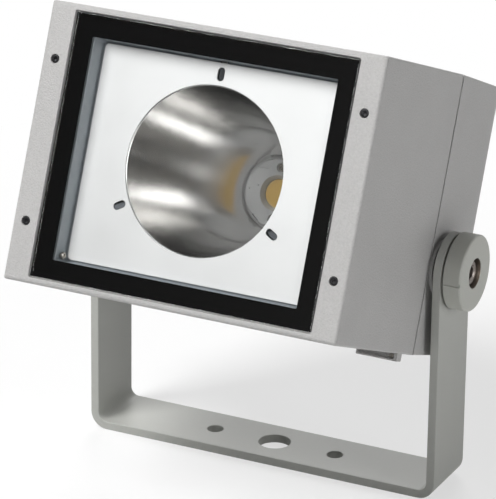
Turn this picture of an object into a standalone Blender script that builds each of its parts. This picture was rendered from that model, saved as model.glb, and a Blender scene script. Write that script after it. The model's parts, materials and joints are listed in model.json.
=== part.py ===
"""LED floodlight: a head of two castings that tilts in a yoke bent from one flat bar.

Units are metres and +Z is up. The light leaves towards -Y. The yoke's base rests on Z = 0.
Pieces of the head are modelled in the head's own frame, whose origin is the tilt axis: X to the
lamp's left-hand side as it shines, depth measured back from the front face, and height measured
along that face from the tilt axis. The empty head_axis carries them and holds the tilt.
"""

import math

import bmesh
import bpy
from mathutils import Matrix, Vector

MM = 0.001

# Fits
GAP = 0.3 * MM
THREAD_GAP = 0.3 * MM
BOLT_PLAY = 0.5 * MM
OVERSHOOT = 5 * MM
OVERLAP = 1 * MM
WELD = 1e-7

# Facets
CORNER_STEPS = 3
ROUND_STEPS = 3
SEGMENTS = 24
SMALL_SEGMENTS = 12
BOWL_SEGMENTS = 36
SHARP_ANGLE = math.radians(32)

# Head, outside
HEAD_WIDTH = 240 * MM
FACE_ABOVE_AXIS = 127.5 * MM
FACE_BELOW_AXIS = 57.5 * MM
SEAM_DEPTH = 135.5 * MM
REAR_LENGTH = 72.5 * MM
AXIS_BEHIND_SEAM = 20.5 * MM
HEAD_TILT = math.radians(22.5)
AXIS_HEIGHT = 160 * MM
SKIN_CORNER = 1.6 * MM
FACE_ROUND = 2.5 * MM
TOP_DRAFT = 0.5 * MM
BOTTOM_DRAFT = 3 * MM
TOP_TAPER = 2.5 * MM
BOTTOM_TAPER = 1.5 * MM
REAR_ROUND = 8 * MM
REAR_SIDE_ROUND = 1.5 * MM
SEAM_GAP = 2 * MM
SEAM_CHAMFER = 0.6 * MM

# Castings
WALL = 3.5 * MM
FLANGE = 9 * MM
BACK_WALL = 5 * MM
FIN_LENGTH = 30 * MM
FIN_THICKNESS = 3 * MM
FIN_SLOTS = 16
FIN_ROOT_ROUND = 2.5 * MM
COLUMN_BELOW_TOP = 13 * MM
COLUMN_ABOVE_BOTTOM = 13 * MM
FRONT_COLUMN_LENGTH = 22 * MM
PEDESTAL_RADIUS = 30 * MM
PEDESTAL_TAPER = 3 * MM

# Glass
GLASS_SIDE_MARGIN = 18 * MM
GLASS_END_MARGIN = 4.2 * MM
GLASS_THICKNESS = 4 * MM
GLASS_SET_BACK = 0.5 * MM
GLASS_EDGE_GAP = 1 * MM
GLASS_CORNER = 1.6 * MM
GASKET_THICKNESS = 0.9 * MM
LEDGE_WIDTH = 12 * MM

# Optic
WINDOW_INSET = 31.5 * MM
WINDOW_TOP_INSET = 18.5 * MM
WINDOW_BOTTOM_INSET = 16.5 * MM
SHEET = 1.2 * MM
FRAME_DEPTH = 12 * MM
FRAME_DRAFT = 1.8 * MM
FRAME_FLANGE = 10 * MM
FRAME_LIP = 5 * MM
FRAME_CORNER = 3 * MM
EAR_WIDTH = 14 * MM
PLATE_THICKNESS = 1 * MM
PLATE_EDGE_GAP = 1.5 * MM
MOUTH_RADIUS = 55.5 * MM
MOUTH_HEIGHT = 35 * MM
PLATE_HOLE_MARGIN = 0.6 * MM
BOWL_WALL = 1 * MM
BEAD_WIDTH = 2.2 * MM
NECK_RADIUS = 25 * MM
NECK_LENGTH = 3 * MM
BOWL_STEPS = 7
LED_DROP = 7 * MM
SLOT_RADIUS = 63.5 * MM
SLOT_LENGTH = 8.8 * MM
SLOT_WIDTH = 4.8 * MM
SLOT_ANGLES = (90, 210, 330)
CLIP_WIDTH = 3.6 * MM
CLIP_FOOT = 2.4 * MM
CLIP_SHEET = 0.6 * MM

# Light source
LED_BEHIND_SEAM = 14.5 * MM
PAD_THICKNESS = 0.7 * MM
PAD_RADIUS = 27 * MM
BOARD_THICKNESS = 1.2 * MM
BOARD_SIDE = 26 * MM
EMITTER_RADIUS = 10 * MM
EMITTER_THICKNESS = 0.6 * MM
HOLDER_RADIUS = 23.6 * MM
HOLDER_FOOT_RADIUS = 27 * MM
HOLDER_FOOT = 3.2 * MM
HOLDER_HEIGHT = 6.2 * MM
HOLDER_CONE = 2 * MM
HOLDER_SCREW_CIRCLE = 17.7 * MM

# Yoke
BAR_WIDTH = 50 * MM
BAR_THICKNESS = 6 * MM
BEND_RADIUS = 6 * MM
BEND_STEPS = 5
BAR_CHAMFER = 0.6 * MM
ARM_TOP_STEPS = 9
CENTRE_HOLE = 22 * MM
SIDE_HOLE = 11 * MM
SIDE_HOLE_OFFSET = 46 * MM

# Pivots
BOSS_RADIUS = 19 * MM
BOSS_HEIGHT = 2 * MM
INNER_BOSS_RADIUS = 16 * MM
INNER_BOSS_LENGTH = 20 * MM
FRICTION_WASHER = 2.4 * MM
DISC_RADIUS = 26 * MM
DISC_THICKNESS = 13.7 * MM
DISC_ROUND = 1.2 * MM
RECESS_RADIUS = 10.2 * MM
RECESS_DEPTH = 11 * MM
GROOVE_WIDTH = 2.4 * MM
GROOVE_DEPTH = 0.8 * MM
BOLT_RADIUS = 5 * MM
BOLT_HEAD_RADIUS = 8 * MM
BOLT_HEAD_HEIGHT = 6.5 * MM
BOLT_SOCKET = 8 * MM
BOLT_SOCKET_DEPTH = 4 * MM
BOLT_THREAD = 22 * MM
LOCK_WASHER_RADIUS = 9 * MM
LOCK_WASHER_THICKNESS = 1.5 * MM

# Small screws: head radius, head height, shank radius, socket across flats, socket depth
FRONT_SCREW = (2.7 * MM, 2.6 * MM, 1.5 * MM, 2.5 * MM, 1.4 * MM)
FRONT_SCREW_LENGTH = 12 * MM
FRONT_SCREW_SINK = 0.4 * MM
FRONT_SCREW_INSET = 9.3 * MM
FRONT_SCREW_HEIGHTS = (89.6 * MM, -17.7 * MM)
HOUSING_SCREW = (4.2 * MM, 5 * MM, 2.5 * MM, 4 * MM, 2.5 * MM)
HOUSING_SCREW_BITE = 12 * MM
FRAME_SCREW = (2.5 * MM, 1.6 * MM, 1.5 * MM, 2 * MM, 0.9 * MM)
FRAME_SCREW_LENGTH = 10 * MM
FRAME_SCREW_RISE = 5 * MM
FRAME_BOSS_RADIUS = 4 * MM
HOLDER_SCREW = (3 * MM, 1.8 * MM, 1.5 * MM, 2 * MM, 1.1 * MM)
HOLDER_SCREW_LENGTH = 12 * MM
HOLDER_SCREW_SINK = 1 * MM
LUG_SCREW = (1.6 * MM, 1.2 * MM, 1 * MM, 1.5 * MM, 0.7 * MM)
LUG_SCREW_LENGTH = 3.6 * MM
DRIVER_SCREW = (3.4 * MM, 2.2 * MM, 2 * MM, 3 * MM, 1.2 * MM)
TERMINAL_SCREW = (2.6 * MM, 1.8 * MM, 1.5 * MM, 2 * MM, 1 * MM)
EARTH_SCREW = (3.5 * MM, 2.6 * MM, 2 * MM, 3 * MM, 1.3 * MM)

# Lug under the front casting
LUG_LENGTH = 29.5 * MM
LUG_THICKNESS = 8 * MM
LUG_HEIGHT = 5.5 * MM
LUG_FROM_SIDE = 2 * MM
LUG_DEPTH = 113 * MM
LUG_SCREW_FROM_END = 5 * MM
LUG_RIM = 1 * MM
LUG_END_WALL = 2.4 * MM
LUG_POCKET = 3 * MM

# Driver compartment
DRIVER_X = -70 * MM
DRIVER_WIDTH = 42 * MM
DRIVER_BOTTOM = 12 * MM
DRIVER_LENGTH = 92 * MM
DRIVER_HEIGHT = 24 * MM
DRIVER_EAR = 8 * MM
DRIVER_EAR_THICKNESS = 2.5 * MM
DRIVER_BOSS_RADIUS = 4 * MM
DRIVER_BOSS_HEIGHT = 6 * MM
DRIVER_SCREW_BITE = 8 * MM
TERMINAL_X = 70 * MM
TERMINAL_HEIGHT = 60 * MM
TERMINAL_SIZE = (40 * MM, 22 * MM, 17 * MM)
TERMINAL_WAYS = 3
TERMINAL_WAY_PITCH = 12 * MM
TERMINAL_WAY_RADIUS = 2 * MM
EARTH_PLACE = (70 * MM, 20 * MM)
EARTH_BOSS_RADIUS = 6 * MM
EARTH_BOSS_HEIGHT = 6 * MM
LED_LEAD_RADIUS = 1.4 * MM
LED_LEAD_HEIGHT = 86 * MM
LED_LEAD_ANGLE = math.radians(125)
DRIVER_LEAD_RADIUS = 2.5 * MM
DRIVER_LEAD_HEIGHT = 98 * MM
LEAD_RUN_OUT = 8 * MM

# Cable entry and vent
ENTRY_HEIGHT = -36 * MM
GLAND_THREAD_RADIUS = 8 * MM
GLAND_FLATS = 22 * MM
GLAND_HEX_HEIGHT = 6 * MM
GLAND_THREAD_LENGTH = 12 * MM
GLAND_NECK_RADIUS = 7.2 * MM
GLAND_NECK_LENGTH = 7 * MM
GLAND_DOME_LENGTH = 14 * MM
GLAND_DOME_WALL = 2.4 * MM
GLAND_BORE_RADIUS = 4.2 * MM
GLAND_SEAL_LENGTH = 8 * MM
GLAND_SEAL_WALL = 3.2 * MM
ENTRY_BOSS_TOP = -18 * MM
VENT_RADIUS = 4.6 * MM
VENT_HEIGHT = 5.5 * MM
VENT_THREAD_RADIUS = 3 * MM
VENT_THREAD_LENGTH = 9.6 * MM

# Places worked out from the sizes above
HALF_WIDTH = HEAD_WIDTH / 2
AXIS_DEPTH = SEAM_DEPTH + AXIS_BEHIND_SEAM
HEAD_DEPTH = SEAM_DEPTH + REAR_LENGTH
LED_PLANE = SEAM_DEPTH + LED_BEHIND_SEAM
FRONT_END = SEAM_DEPTH - SEAM_GAP / 2
REAR_START = SEAM_DEPTH + SEAM_GAP / 2
FIN_ROOT = HEAD_DEPTH - FIN_LENGTH
CAVITY_END = FIN_ROOT - BACK_WALL
SPOT_FACE = FIN_ROOT - GAP
FIN_PITCH = (HEAD_WIDTH - FIN_THICKNESS) / FIN_SLOTS
COLUMN_X = HALF_WIDTH - FIN_THICKNESS / 2 - FIN_PITCH / 2
COLUMN_RADIUS = HALF_WIDTH - WALL - COLUMN_X + OVERLAP
RECESS_FLOOR = GLASS_SET_BACK + GLASS_THICKNESS + GASKET_THICKNESS + 2 * GAP
FRAME_FRONT = FLANGE + GAP
FRAME_BACK = FRAME_FRONT + FRAME_DEPTH
PLATE_FRONT = FRAME_BACK - PLATE_THICKNESS - GAP
WINDOW_SIDE = HALF_WIDTH - WINDOW_INSET
WINDOW_TOP = FACE_ABOVE_AXIS - WINDOW_TOP_INSET
WINDOW_BOTTOM = WINDOW_BOTTOM_INSET - FACE_BELOW_AXIS
LED_HEIGHT = MOUTH_HEIGHT - LED_DROP
PAD_FRONT = LED_PLANE - GAP - PAD_THICKNESS
BOARD_FRONT = PAD_FRONT - GAP - BOARD_THICKNESS
EMITTER_FRONT = BOARD_FRONT - GAP - EMITTER_THICKNESS
HOLDER_BACK = PAD_FRONT - GAP
HOLDER_STEP = HOLDER_BACK - HOLDER_FOOT
HOLDER_FRONT = HOLDER_BACK - HOLDER_HEIGHT
BOWL_BACK = HOLDER_STEP - GAP
WASHER_INSIDE = HALF_WIDTH + BOSS_HEIGHT + GAP
WASHER_OUTSIDE = WASHER_INSIDE + FRICTION_WASHER
ARM_INSIDE = WASHER_OUTSIDE + GAP
ARM_OUTSIDE = ARM_INSIDE + BAR_THICKNESS
DISC_INSIDE = ARM_OUTSIDE + GAP
DISC_FACE = DISC_INSIDE + DISC_THICKNESS
RECESS_SEAT = DISC_FACE - RECESS_DEPTH
LOCK_WASHER_OUTSIDE = RECESS_SEAT + GAP + LOCK_WASHER_THICKNESS
BOLT_SEAT = LOCK_WASHER_OUTSIDE + GAP
BOLT_END = HALF_WIDTH - BOLT_THREAD
FRONT_SCREW_X = HALF_WIDTH - FRONT_SCREW_INSET
LUG_OUTER = HALF_WIDTH - LUG_FROM_SIDE
VENT_X = 2.5 * FIN_PITCH

X_AXIS = Vector((1, 0, 0))
Y_AXIS = Vector((0, 1, 0))
Z_AXIS = Vector((0, 0, 1))


def axis_setback():
    """Distance of the tilt axis behind the middle of the lamp's length at rest."""
    cos, sin = math.cos(HEAD_TILT), math.sin(HEAD_TILT)
    nose = (AXIS_DEPTH - FACE_ROUND) * cos + (FACE_BELOW_AXIS - FACE_ROUND) * sin + FACE_ROUND
    top_rear = FACE_ABOVE_AXIS + TOP_DRAFT - TOP_TAPER - REAR_ROUND
    tail = (HEAD_DEPTH - AXIS_DEPTH - REAR_ROUND) * cos + top_rear * sin + REAR_ROUND
    return (nose - tail) / 2


def at(x, depth, height):
    """A point of the head's frame from its depth behind the face and height above the axis."""
    return Vector((x, depth - AXIS_DEPTH, height))


def finish(name, red, green, blue, roughness, metallic=0.0):
    """A Principled material from an sRGB colour."""
    material = bpy.data.materials.new(name)
    material.use_nodes = True
    shader = material.node_tree.nodes["Principled BSDF"]
    linear = [(c / 255 / 12.92) if c <= 10 else ((c / 255 + 0.055) / 1.055) ** 2.4 for c in (red, green, blue)]
    shader.inputs["Base Color"].default_value = (*linear, 1)
    shader.inputs["Roughness"].default_value = roughness
    shader.inputs["Metallic"].default_value = metallic
    material.diffuse_color = (*linear, 1)
    return material


def link(name, mesh, parent):
    """Makes an object from a bmesh and hangs it on its parent."""
    data = bpy.data.meshes.new(name)
    mesh.to_mesh(data)
    mesh.free()
    obj = bpy.data.objects.new(name, data)
    bpy.context.scene.collection.objects.link(obj)
    obj.parent = parent
    return obj


def add(name, mesh, material, parent=None):
    """Adds one piece of the lamp, shaded smooth up to its sharp edges."""
    obj = link(name, mesh, parent)
    obj.data.materials.append(material)
    obj.data.shade_smooth()
    obj.data.set_sharp_from_angle(angle=SHARP_ANGLE)
    return obj


def combine(target, mesh, operation):
    """Cuts a hidden tool from the target, or joins it on."""
    tool = link(f"{target.name}_tool_{len(target.modifiers)}", mesh, target.parent)
    tool.location = target.location
    tool.hide_render = True
    tool.display_type = "WIRE"
    modifier = target.modifiers.new(tool.name, "BOOLEAN")
    modifier.object = tool
    modifier.operation = operation
    modifier.solver = "EXACT"


def cut(target, mesh):
    combine(target, mesh, "DIFFERENCE")


def fuse(target, mesh):
    combine(target, mesh, "UNION")


def outline(side, top, bottom, radius):
    """A rounded rectangle as (x, height) points."""
    corners = (
        (side - radius, top - radius, 0),
        (radius - side, top - radius, 90),
        (radius - side, bottom + radius, 180),
        (side - radius, bottom + radius, 270),
    )
    points = []
    for x, height, start in corners:
        for step in range(CORNER_STEPS + 1):
            angle = math.radians(start + 90 * step / CORNER_STEPS)
            points.append((x + radius * math.cos(angle), height + radius * math.sin(angle)))
    return points


def skin_rings(mesh, rings):
    """Faces between rings of as many points each, and a flat cap on both ends."""
    for ring in (rings[0], rings[-1]):
        mesh.faces.new(ring)
    for near, far in zip(rings, rings[1:]):
        for i, point in enumerate(near):
            mesh.faces.new((point, near[i - 1], far[i - 1], far[i]))
    bmesh.ops.recalc_face_normals(mesh, faces=mesh.faces)


def loft(sections):
    """A solid through rounded rectangles, each (depth, side, top, bottom, corner radius)."""
    mesh = bmesh.new()
    rings = [
        [mesh.verts.new(at(x, depth, height)) for x, height in outline(side, top, bottom, radius)]
        for depth, side, top, bottom, radius in sections
    ]
    skin_rings(mesh, rings)
    return mesh


def prism(points, sweep):
    """A flat outline swept along a vector."""
    mesh = bmesh.new()
    face = mesh.faces.new([mesh.verts.new(point) for point in points])
    swept = bmesh.ops.extrude_face_region(mesh, geom=[face])["geom"]
    moved = [item for item in swept if isinstance(item, bmesh.types.BMVert)]
    bmesh.ops.translate(mesh, verts=moved, vec=sweep)
    bmesh.ops.recalc_face_normals(mesh, faces=mesh.faces)
    return mesh


def block(low, high):
    """A box between two corners."""
    (x0, y0, z0), (x1, y1, z1) = low, high
    base = [Vector(p) for p in ((x0, y0, z0), (x1, y0, z0), (x1, y1, z0), (x0, y1, z0))]
    return prism(base, Vector((0, 0, z1 - z0)))


def turned(axis, profile, centre=(0, 0, 0), segments=SEGMENTS):
    """Spins an outline of (distance along the axis, radius) points about the axis.

    An outline that starts and ends on the axis makes a solid with flat ends, any other one a ring.
    """
    mesh = bmesh.new()
    side = Z_AXIS if abs(axis.z) < 0.5 else X_AXIS
    points = [mesh.verts.new(axis * along + side * radius) for along, radius in profile if radius > 0]
    edges = [mesh.edges.new(pair) for pair in zip(points, points[1:])]
    solid = profile[0][1] == 0
    if not solid:
        edges.append(mesh.edges.new((points[-1], points[0])))
    bmesh.ops.spin(
        mesh, geom=points + edges, cent=(0, 0, 0), axis=axis, angle=math.tau, steps=segments, use_duplicate=False
    )
    bmesh.ops.remove_doubles(mesh, verts=mesh.verts, dist=WELD)
    if solid:
        bmesh.ops.holes_fill(mesh, edges=mesh.edges)
    bmesh.ops.recalc_face_normals(mesh, faces=mesh.faces)
    bmesh.ops.translate(mesh, verts=mesh.verts, vec=centre)
    return mesh


def rod(axis, start, end, radius, centre=(0, 0, 0), segments=SMALL_SEGMENTS):
    """A cylinder along an axis, or with six segments a hexagon."""
    return turned(axis, [(start, 0), (start, radius), (end, radius), (end, 0)], centre, segments)


def pipe(axis, start, end, outer, inner, centre=(0, 0, 0), segments=SEGMENTS):
    """A ring of rectangular section."""
    return turned(axis, [(start, inner), (start, outer), (end, outer), (end, inner)], centre, segments)


def hexagon(axis, start, end, flats, centre=(0, 0, 0)):
    return rod(axis, start, end, flats / 2 / math.cos(math.pi / 6), centre, 6)


def merged(meshes):
    """Several separate solids as one tool."""
    whole = bmesh.new()
    for mesh in meshes:
        part = bpy.data.meshes.new("part_of_tool")
        mesh.to_mesh(part)
        mesh.free()
        whole.from_mesh(part)
        bpy.data.meshes.remove(part)
    return whole


def screw(name, size, length, axis, seat, centre, material, parent, countersunk=False):
    """A hex socket screw. The axis points the way it screws in, and seat is under its head."""
    head_radius, head_height, shank_radius, flats, socket_depth = size
    under_head = seat + head_height if countersunk else seat
    top = seat if countersunk else seat - head_height
    profile = [
        (top, 0),
        (top, head_radius),
        (under_head, shank_radius if countersunk else head_radius),
        (under_head, shank_radius),
        (seat + length, shank_radius),
        (seat + length, 0),
    ]
    if countersunk:
        del profile[3]
    obj = add(name, turned(axis, profile, centre, SMALL_SEGMENTS), material, parent)
    cut(obj, hexagon(axis, top - OVERSHOOT, top + socket_depth, flats, centre))
    return obj


def skin(depth, inset=0.0, end_drop=0.0):
    """The head's outer section at a depth: drafted up to the seam, tapered behind it."""
    to_seam = min(depth / SEAM_DEPTH, 1)
    behind = max(depth - SEAM_DEPTH, 0) / (HEAD_DEPTH - SEAM_DEPTH)
    top = FACE_ABOVE_AXIS + TOP_DRAFT * to_seam - TOP_TAPER * behind
    bottom = -FACE_BELOW_AXIS - BOTTOM_DRAFT * to_seam + BOTTOM_TAPER * behind
    radius = max(SKIN_CORNER - inset, SEAM_CHAMFER)
    return (depth, HALF_WIDTH - inset, top - inset - end_drop, bottom + inset + end_drop, radius)


def column_places():
    """Places of the four columns that take the housing screws."""
    top = FACE_ABOVE_AXIS - COLUMN_BELOW_TOP
    bottom = COLUMN_ABOVE_BOTTOM - FACE_BELOW_AXIS
    return [(side * COLUMN_X, height) for side in (-1, 1) for height in (top, bottom)]


def front_screw_places():
    return [(side * FRONT_SCREW_X, height) for side in (-1, 1) for height in FRONT_SCREW_HEIGHTS]


def frame_wall(depth):
    """Half the width inside the optic frame at a depth."""
    return WINDOW_SIDE - FRAME_DRAFT * (depth - FRAME_FRONT) / FRAME_DEPTH


def frame_screw_place():
    """Depth and height of the screws in the frame's side walls."""
    return FRAME_FRONT + FRAME_DEPTH / 2, WINDOW_BOTTOM + FRAME_SCREW_RISE


def front_housing(material, head):
    """The front casting: face flange, glass recess, drafted side walls, columns and the lug."""
    steps = [math.radians(90 * i / ROUND_STEPS) for i in range(ROUND_STEPS + 1)]
    sections = [skin(FACE_ROUND * (1 - math.cos(a)), FACE_ROUND * (1 - math.sin(a))) for a in steps]
    sections += [skin(FRONT_END - SEAM_CHAMFER), skin(FRONT_END, SEAM_CHAMFER)]
    body = add("front_housing", loft(sections), material, head)
    cut(body, loft([skin(FLANGE, WALL), skin(FRONT_END + OVERSHOOT, WALL)]))
    recess = (
        HALF_WIDTH - GLASS_SIDE_MARGIN,
        FACE_ABOVE_AXIS - GLASS_END_MARGIN,
        GLASS_END_MARGIN - FACE_BELOW_AXIS,
        GLASS_CORNER,
    )
    cut(body, loft([(-OVERSHOOT, *recess), (RECESS_FLOOR, *recess)]))
    aperture = (recess[0] - LEDGE_WIDTH, recess[1] - LEDGE_WIDTH, recess[2] + LEDGE_WIDTH, GLASS_CORNER)
    cut(body, loft([(-OVERSHOOT, *aperture), (FLANGE + OVERSHOOT, *aperture)]))
    for x, height in column_places():
        centre = at(x, 0, height)
        fuse(body, rod(Y_AXIS, FRONT_END - FRONT_COLUMN_LENGTH, FRONT_END - GAP, COLUMN_RADIUS, centre))
    bore = HOUSING_SCREW[2] + THREAD_GAP
    bore_start = FRONT_END - HOUSING_SCREW_BITE - OVERLAP
    cut(body, merged(rod(Y_AXIS, bore_start, SEAM_DEPTH, bore, at(x, 0, z)) for x, z in column_places()))
    head_radius, head_height, shank = FRONT_SCREW[0], FRONT_SCREW[1], FRONT_SCREW[2]
    seat = FRONT_SCREW_SINK + head_height + GAP
    pocket = [(-OVERSHOOT, 0), (-OVERSHOOT, head_radius + GAP), (seat, head_radius + GAP)]
    pocket += [(seat, shank + THREAD_GAP), (FLANGE + OVERSHOOT, shank + THREAD_GAP), (FLANGE + OVERSHOOT, 0)]
    cut(body, merged(turned(Y_AXIS, pocket, at(x, 0, z), SMALL_SEGMENTS) for x, z in front_screw_places()))
    depth, height = frame_screw_place()
    for side in (-1, 1):
        centre = at(0, depth, height)
        inner = frame_wall(depth) + 2 * SHEET
        fuse(body, rod(X_AXIS, side * inner, side * (HALF_WIDTH - WALL + OVERLAP), FRAME_BOSS_RADIUS, centre))
        bore_end = frame_wall(depth) + FRAME_SCREW_LENGTH + OVERLAP
        cut(body, rod(X_AXIS, side * (inner - OVERSHOOT), side * bore_end, FRAME_SCREW[2] + THREAD_GAP, centre))
    lug(body)
    return body


def lug_screw_height():
    """Height of the lug's screw, in the middle of the pocket."""
    return skin(LUG_DEPTH)[3] - (LUG_HEIGHT - LUG_RIM) / 2


def lug(body):
    """The low lug across the underside, with the pocket in its front and the bore for its screw."""
    under = skin(LUG_DEPTH)[3]
    inner = LUG_OUTER - LUG_LENGTH
    low = at(inner, LUG_DEPTH, under - LUG_HEIGHT)
    high = at(LUG_OUTER, LUG_DEPTH + LUG_THICKNESS, under + OVERLAP)
    fuse(body, block(low, high))
    floor = LUG_DEPTH + LUG_POCKET
    low = at(inner + LUG_RIM, LUG_DEPTH - OVERSHOOT, under - LUG_HEIGHT + LUG_RIM)
    cut(body, block(low, at(LUG_OUTER - LUG_END_WALL, floor, under - GAP)))
    radius = LUG_SCREW[2] + THREAD_GAP
    centre = at(LUG_OUTER - LUG_SCREW_FROM_END, 0, lug_screw_height())
    cut(body, rod(Y_AXIS, floor - OVERSHOOT, floor + LUG_SCREW_LENGTH + GAP, radius, centre))


def rear_housing(material, head):
    """The rear casting: shell, pivot bosses, columns, LED pedestal and cooling fins."""
    sections = [skin(REAR_START, SEAM_CHAMFER), skin(REAR_START + SEAM_CHAMFER)]
    for i in range(ROUND_STEPS + 1):
        angle = math.radians(90 * i / ROUND_STEPS)
        depth = HEAD_DEPTH - REAR_ROUND * (1 - math.sin(angle))
        sections.append(skin(depth, REAR_SIDE_ROUND * (1 - math.cos(angle)), REAR_ROUND * (1 - math.cos(angle))))
    body = add("rear_housing", loft(sections), material, head)
    cut(body, loft([skin(SEAM_DEPTH - OVERSHOOT, WALL), skin(CAVITY_END, WALL)]))
    cut(body, fin_slots())
    foot = PEDESTAL_RADIUS + PEDESTAL_TAPER
    pedestal = [(LED_PLANE, 0), (LED_PLANE, PEDESTAL_RADIUS), (CAVITY_END + OVERLAP, foot), (CAVITY_END + OVERLAP, 0)]
    fuse(body, turned(Y_AXIS, pedestal, at(0, 0, LED_HEIGHT)))
    for x, height in column_places():
        fuse(body, rod(Y_AXIS, REAR_START + GAP, CAVITY_END + OVERLAP, COLUMN_RADIUS, at(x, 0, height)))
    shank = HOUSING_SCREW[2] + BOLT_PLAY
    cut(body, merged(rod(Y_AXIS, SEAM_DEPTH, HEAD_DEPTH, shank, at(x, 0, z)) for x, z in column_places()))
    faces = [(x, height, HOUSING_SCREW[0]) for x, height in column_places()] + [(VENT_X, ENTRY_HEIGHT, VENT_RADIUS)]
    spots = [rod(Y_AXIS, SPOT_FACE, HEAD_DEPTH, r + 2 * GAP, at(x, 0, z)) for x, z, r in faces]
    cut(body, merged(spots))
    for side in (-1, 1):
        inner_end = HALF_WIDTH - WALL - INNER_BOSS_LENGTH
        fuse(body, rod(X_AXIS, side * inner_end, side * (HALF_WIDTH - OVERLAP), INNER_BOSS_RADIUS, segments=SEGMENTS))
        outer = (side * (HALF_WIDTH - OVERLAP), side * (HALF_WIDTH + BOSS_HEIGHT))
        fuse(body, rod(X_AXIS, *outer, BOSS_RADIUS, segments=SEGMENTS))
        bore = (side * (BOLT_END - OVERLAP), side * (HALF_WIDTH + BOSS_HEIGHT + OVERSHOOT))
        cut(body, rod(X_AXIS, *bore, BOLT_RADIUS + THREAD_GAP))
    for place in driver_screw_places():
        raised_boss(body, place, DRIVER_BOSS_RADIUS, DRIVER_BOSS_HEIGHT, DRIVER_SCREW)
    raised_boss(body, EARTH_PLACE, EARTH_BOSS_RADIUS, EARTH_BOSS_HEIGHT, EARTH_SCREW)
    entries = [
        rod(Y_AXIS, CAVITY_END - OVERSHOOT, end + OVERSHOOT, radius + THREAD_GAP, at(x, 0, ENTRY_HEIGHT))
        for x, end, radius in ((0, HEAD_DEPTH, GLAND_THREAD_RADIUS), (VENT_X, FIN_ROOT, VENT_THREAD_RADIUS))
    ]
    cut(body, merged(entries))
    blind = [(TERMINAL_X, TERMINAL_HEIGHT, TERMINAL_SCREW, CAVITY_END)]
    blind += [(x, LED_HEIGHT + rise, HOLDER_SCREW, LED_PLANE) for x, rise in holder_screw_offsets()]
    bores = [
        rod(Y_AXIS, start - OVERSHOOT, start + blind_depth(size), size[2] + THREAD_GAP, at(x, 0, height))
        for x, height, size, start in blind
    ]
    cut(body, merged(bores))
    return body


def blind_depth(size):
    """How deep a small screw's bore goes into the casting."""
    return HOLDER_SCREW_LENGTH if size is HOLDER_SCREW else BACK_WALL - FIN_ROOT_ROUND / 2


def raised_boss(body, place, radius, height, size):
    """A boss on the back wall, bored for its screw."""
    centre = at(place[0], 0, place[1])
    fuse(body, rod(Y_AXIS, CAVITY_END - height, CAVITY_END + OVERLAP, radius, centre))
    end = CAVITY_END - height + DRIVER_SCREW_BITE
    cut(body, rod(Y_AXIS, CAVITY_END - height - OVERLAP, end + GAP, size[2] + THREAD_GAP, centre))


def fin_slots():
    """The air spaces between the fins, open above, below and behind, with rounded roots.

    The two middle ones stop above the solid boss that takes the cable entry.
    """
    slots = []
    half = (FIN_PITCH - FIN_THICKNESS) / 2
    high, low = FACE_ABOVE_AXIS + 2 * OVERSHOOT, -FACE_BELOW_AXIS - 2 * OVERSHOOT
    for i in range(FIN_SLOTS):
        middle = (i + 0.5) * FIN_PITCH + FIN_THICKNESS / 2 - HALF_WIDTH
        profile = [(middle + half, HEAD_DEPTH + OVERSHOOT), (middle - half, HEAD_DEPTH + OVERSHOOT)]
        for side in (-1, 1):
            arc_x = middle + side * (half - FIN_ROOT_ROUND)
            angles = (0, 45, 90) if side < 0 else (90, 45, 0)
            for angle in angles:
                turn = math.radians(angle)
                x = arc_x + side * FIN_ROOT_ROUND * math.cos(turn)
                profile.append((x, FIN_ROOT + FIN_ROOT_ROUND * (1 - math.sin(turn))))
        end = ENTRY_BOSS_TOP if abs(middle) < FIN_PITCH else low
        slots.append(prism([at(x, depth, end) for x, depth in profile], Z_AXIS * (high - end)))
    return merged(slots)


def holder_screw_offsets():
    return [(0, HOLDER_SCREW_CIRCLE), (0, -HOLDER_SCREW_CIRCLE)]


def driver_screw_places():
    """Screw places in the driver's two end ears."""
    low = DRIVER_BOTTOM - DRIVER_EAR / 2
    high = DRIVER_BOTTOM + DRIVER_LENGTH + DRIVER_EAR / 2
    return [(DRIVER_X, low), (DRIVER_X, high)]


def housing_gasket(material, head):
    """The seal between the castings, set back from the outside so that a shadow line shows."""
    near, far = FRONT_END + GAP, REAR_START - GAP
    outer, inner = SEAM_CHAMFER + GAP, WALL - GAP
    ring = add("housing_gasket", loft([skin(near, outer), skin(far, outer)]), material, head)
    cut(ring, loft([skin(near - OVERSHOOT, inner), skin(far + OVERSHOOT, inner)]))


def glazing(glass, rubber, head):
    """The pane and the flat gasket that it beds on."""
    pane = (
        HALF_WIDTH - GLASS_SIDE_MARGIN - GLASS_EDGE_GAP,
        FACE_ABOVE_AXIS - GLASS_END_MARGIN - GLASS_EDGE_GAP,
        GLASS_END_MARGIN + GLASS_EDGE_GAP - FACE_BELOW_AXIS,
        GLASS_CORNER - GLASS_EDGE_GAP,
    )
    back = GLASS_SET_BACK + GLASS_THICKNESS
    add("front_glass", loft([(GLASS_SET_BACK, *pane), (back, *pane)]), glass, head)
    bed = add("glass_gasket", loft([(back + GAP, *pane), (RECESS_FLOOR - GAP, *pane)]), rubber, head)
    side, top, bottom, corner = pane
    width = LEDGE_WIDTH - GLASS_EDGE_GAP
    hole = (side - width, top - width, bottom + width, corner)
    cut(bed, loft([(0, *hole), (FLANGE, *hole)]))


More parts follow.
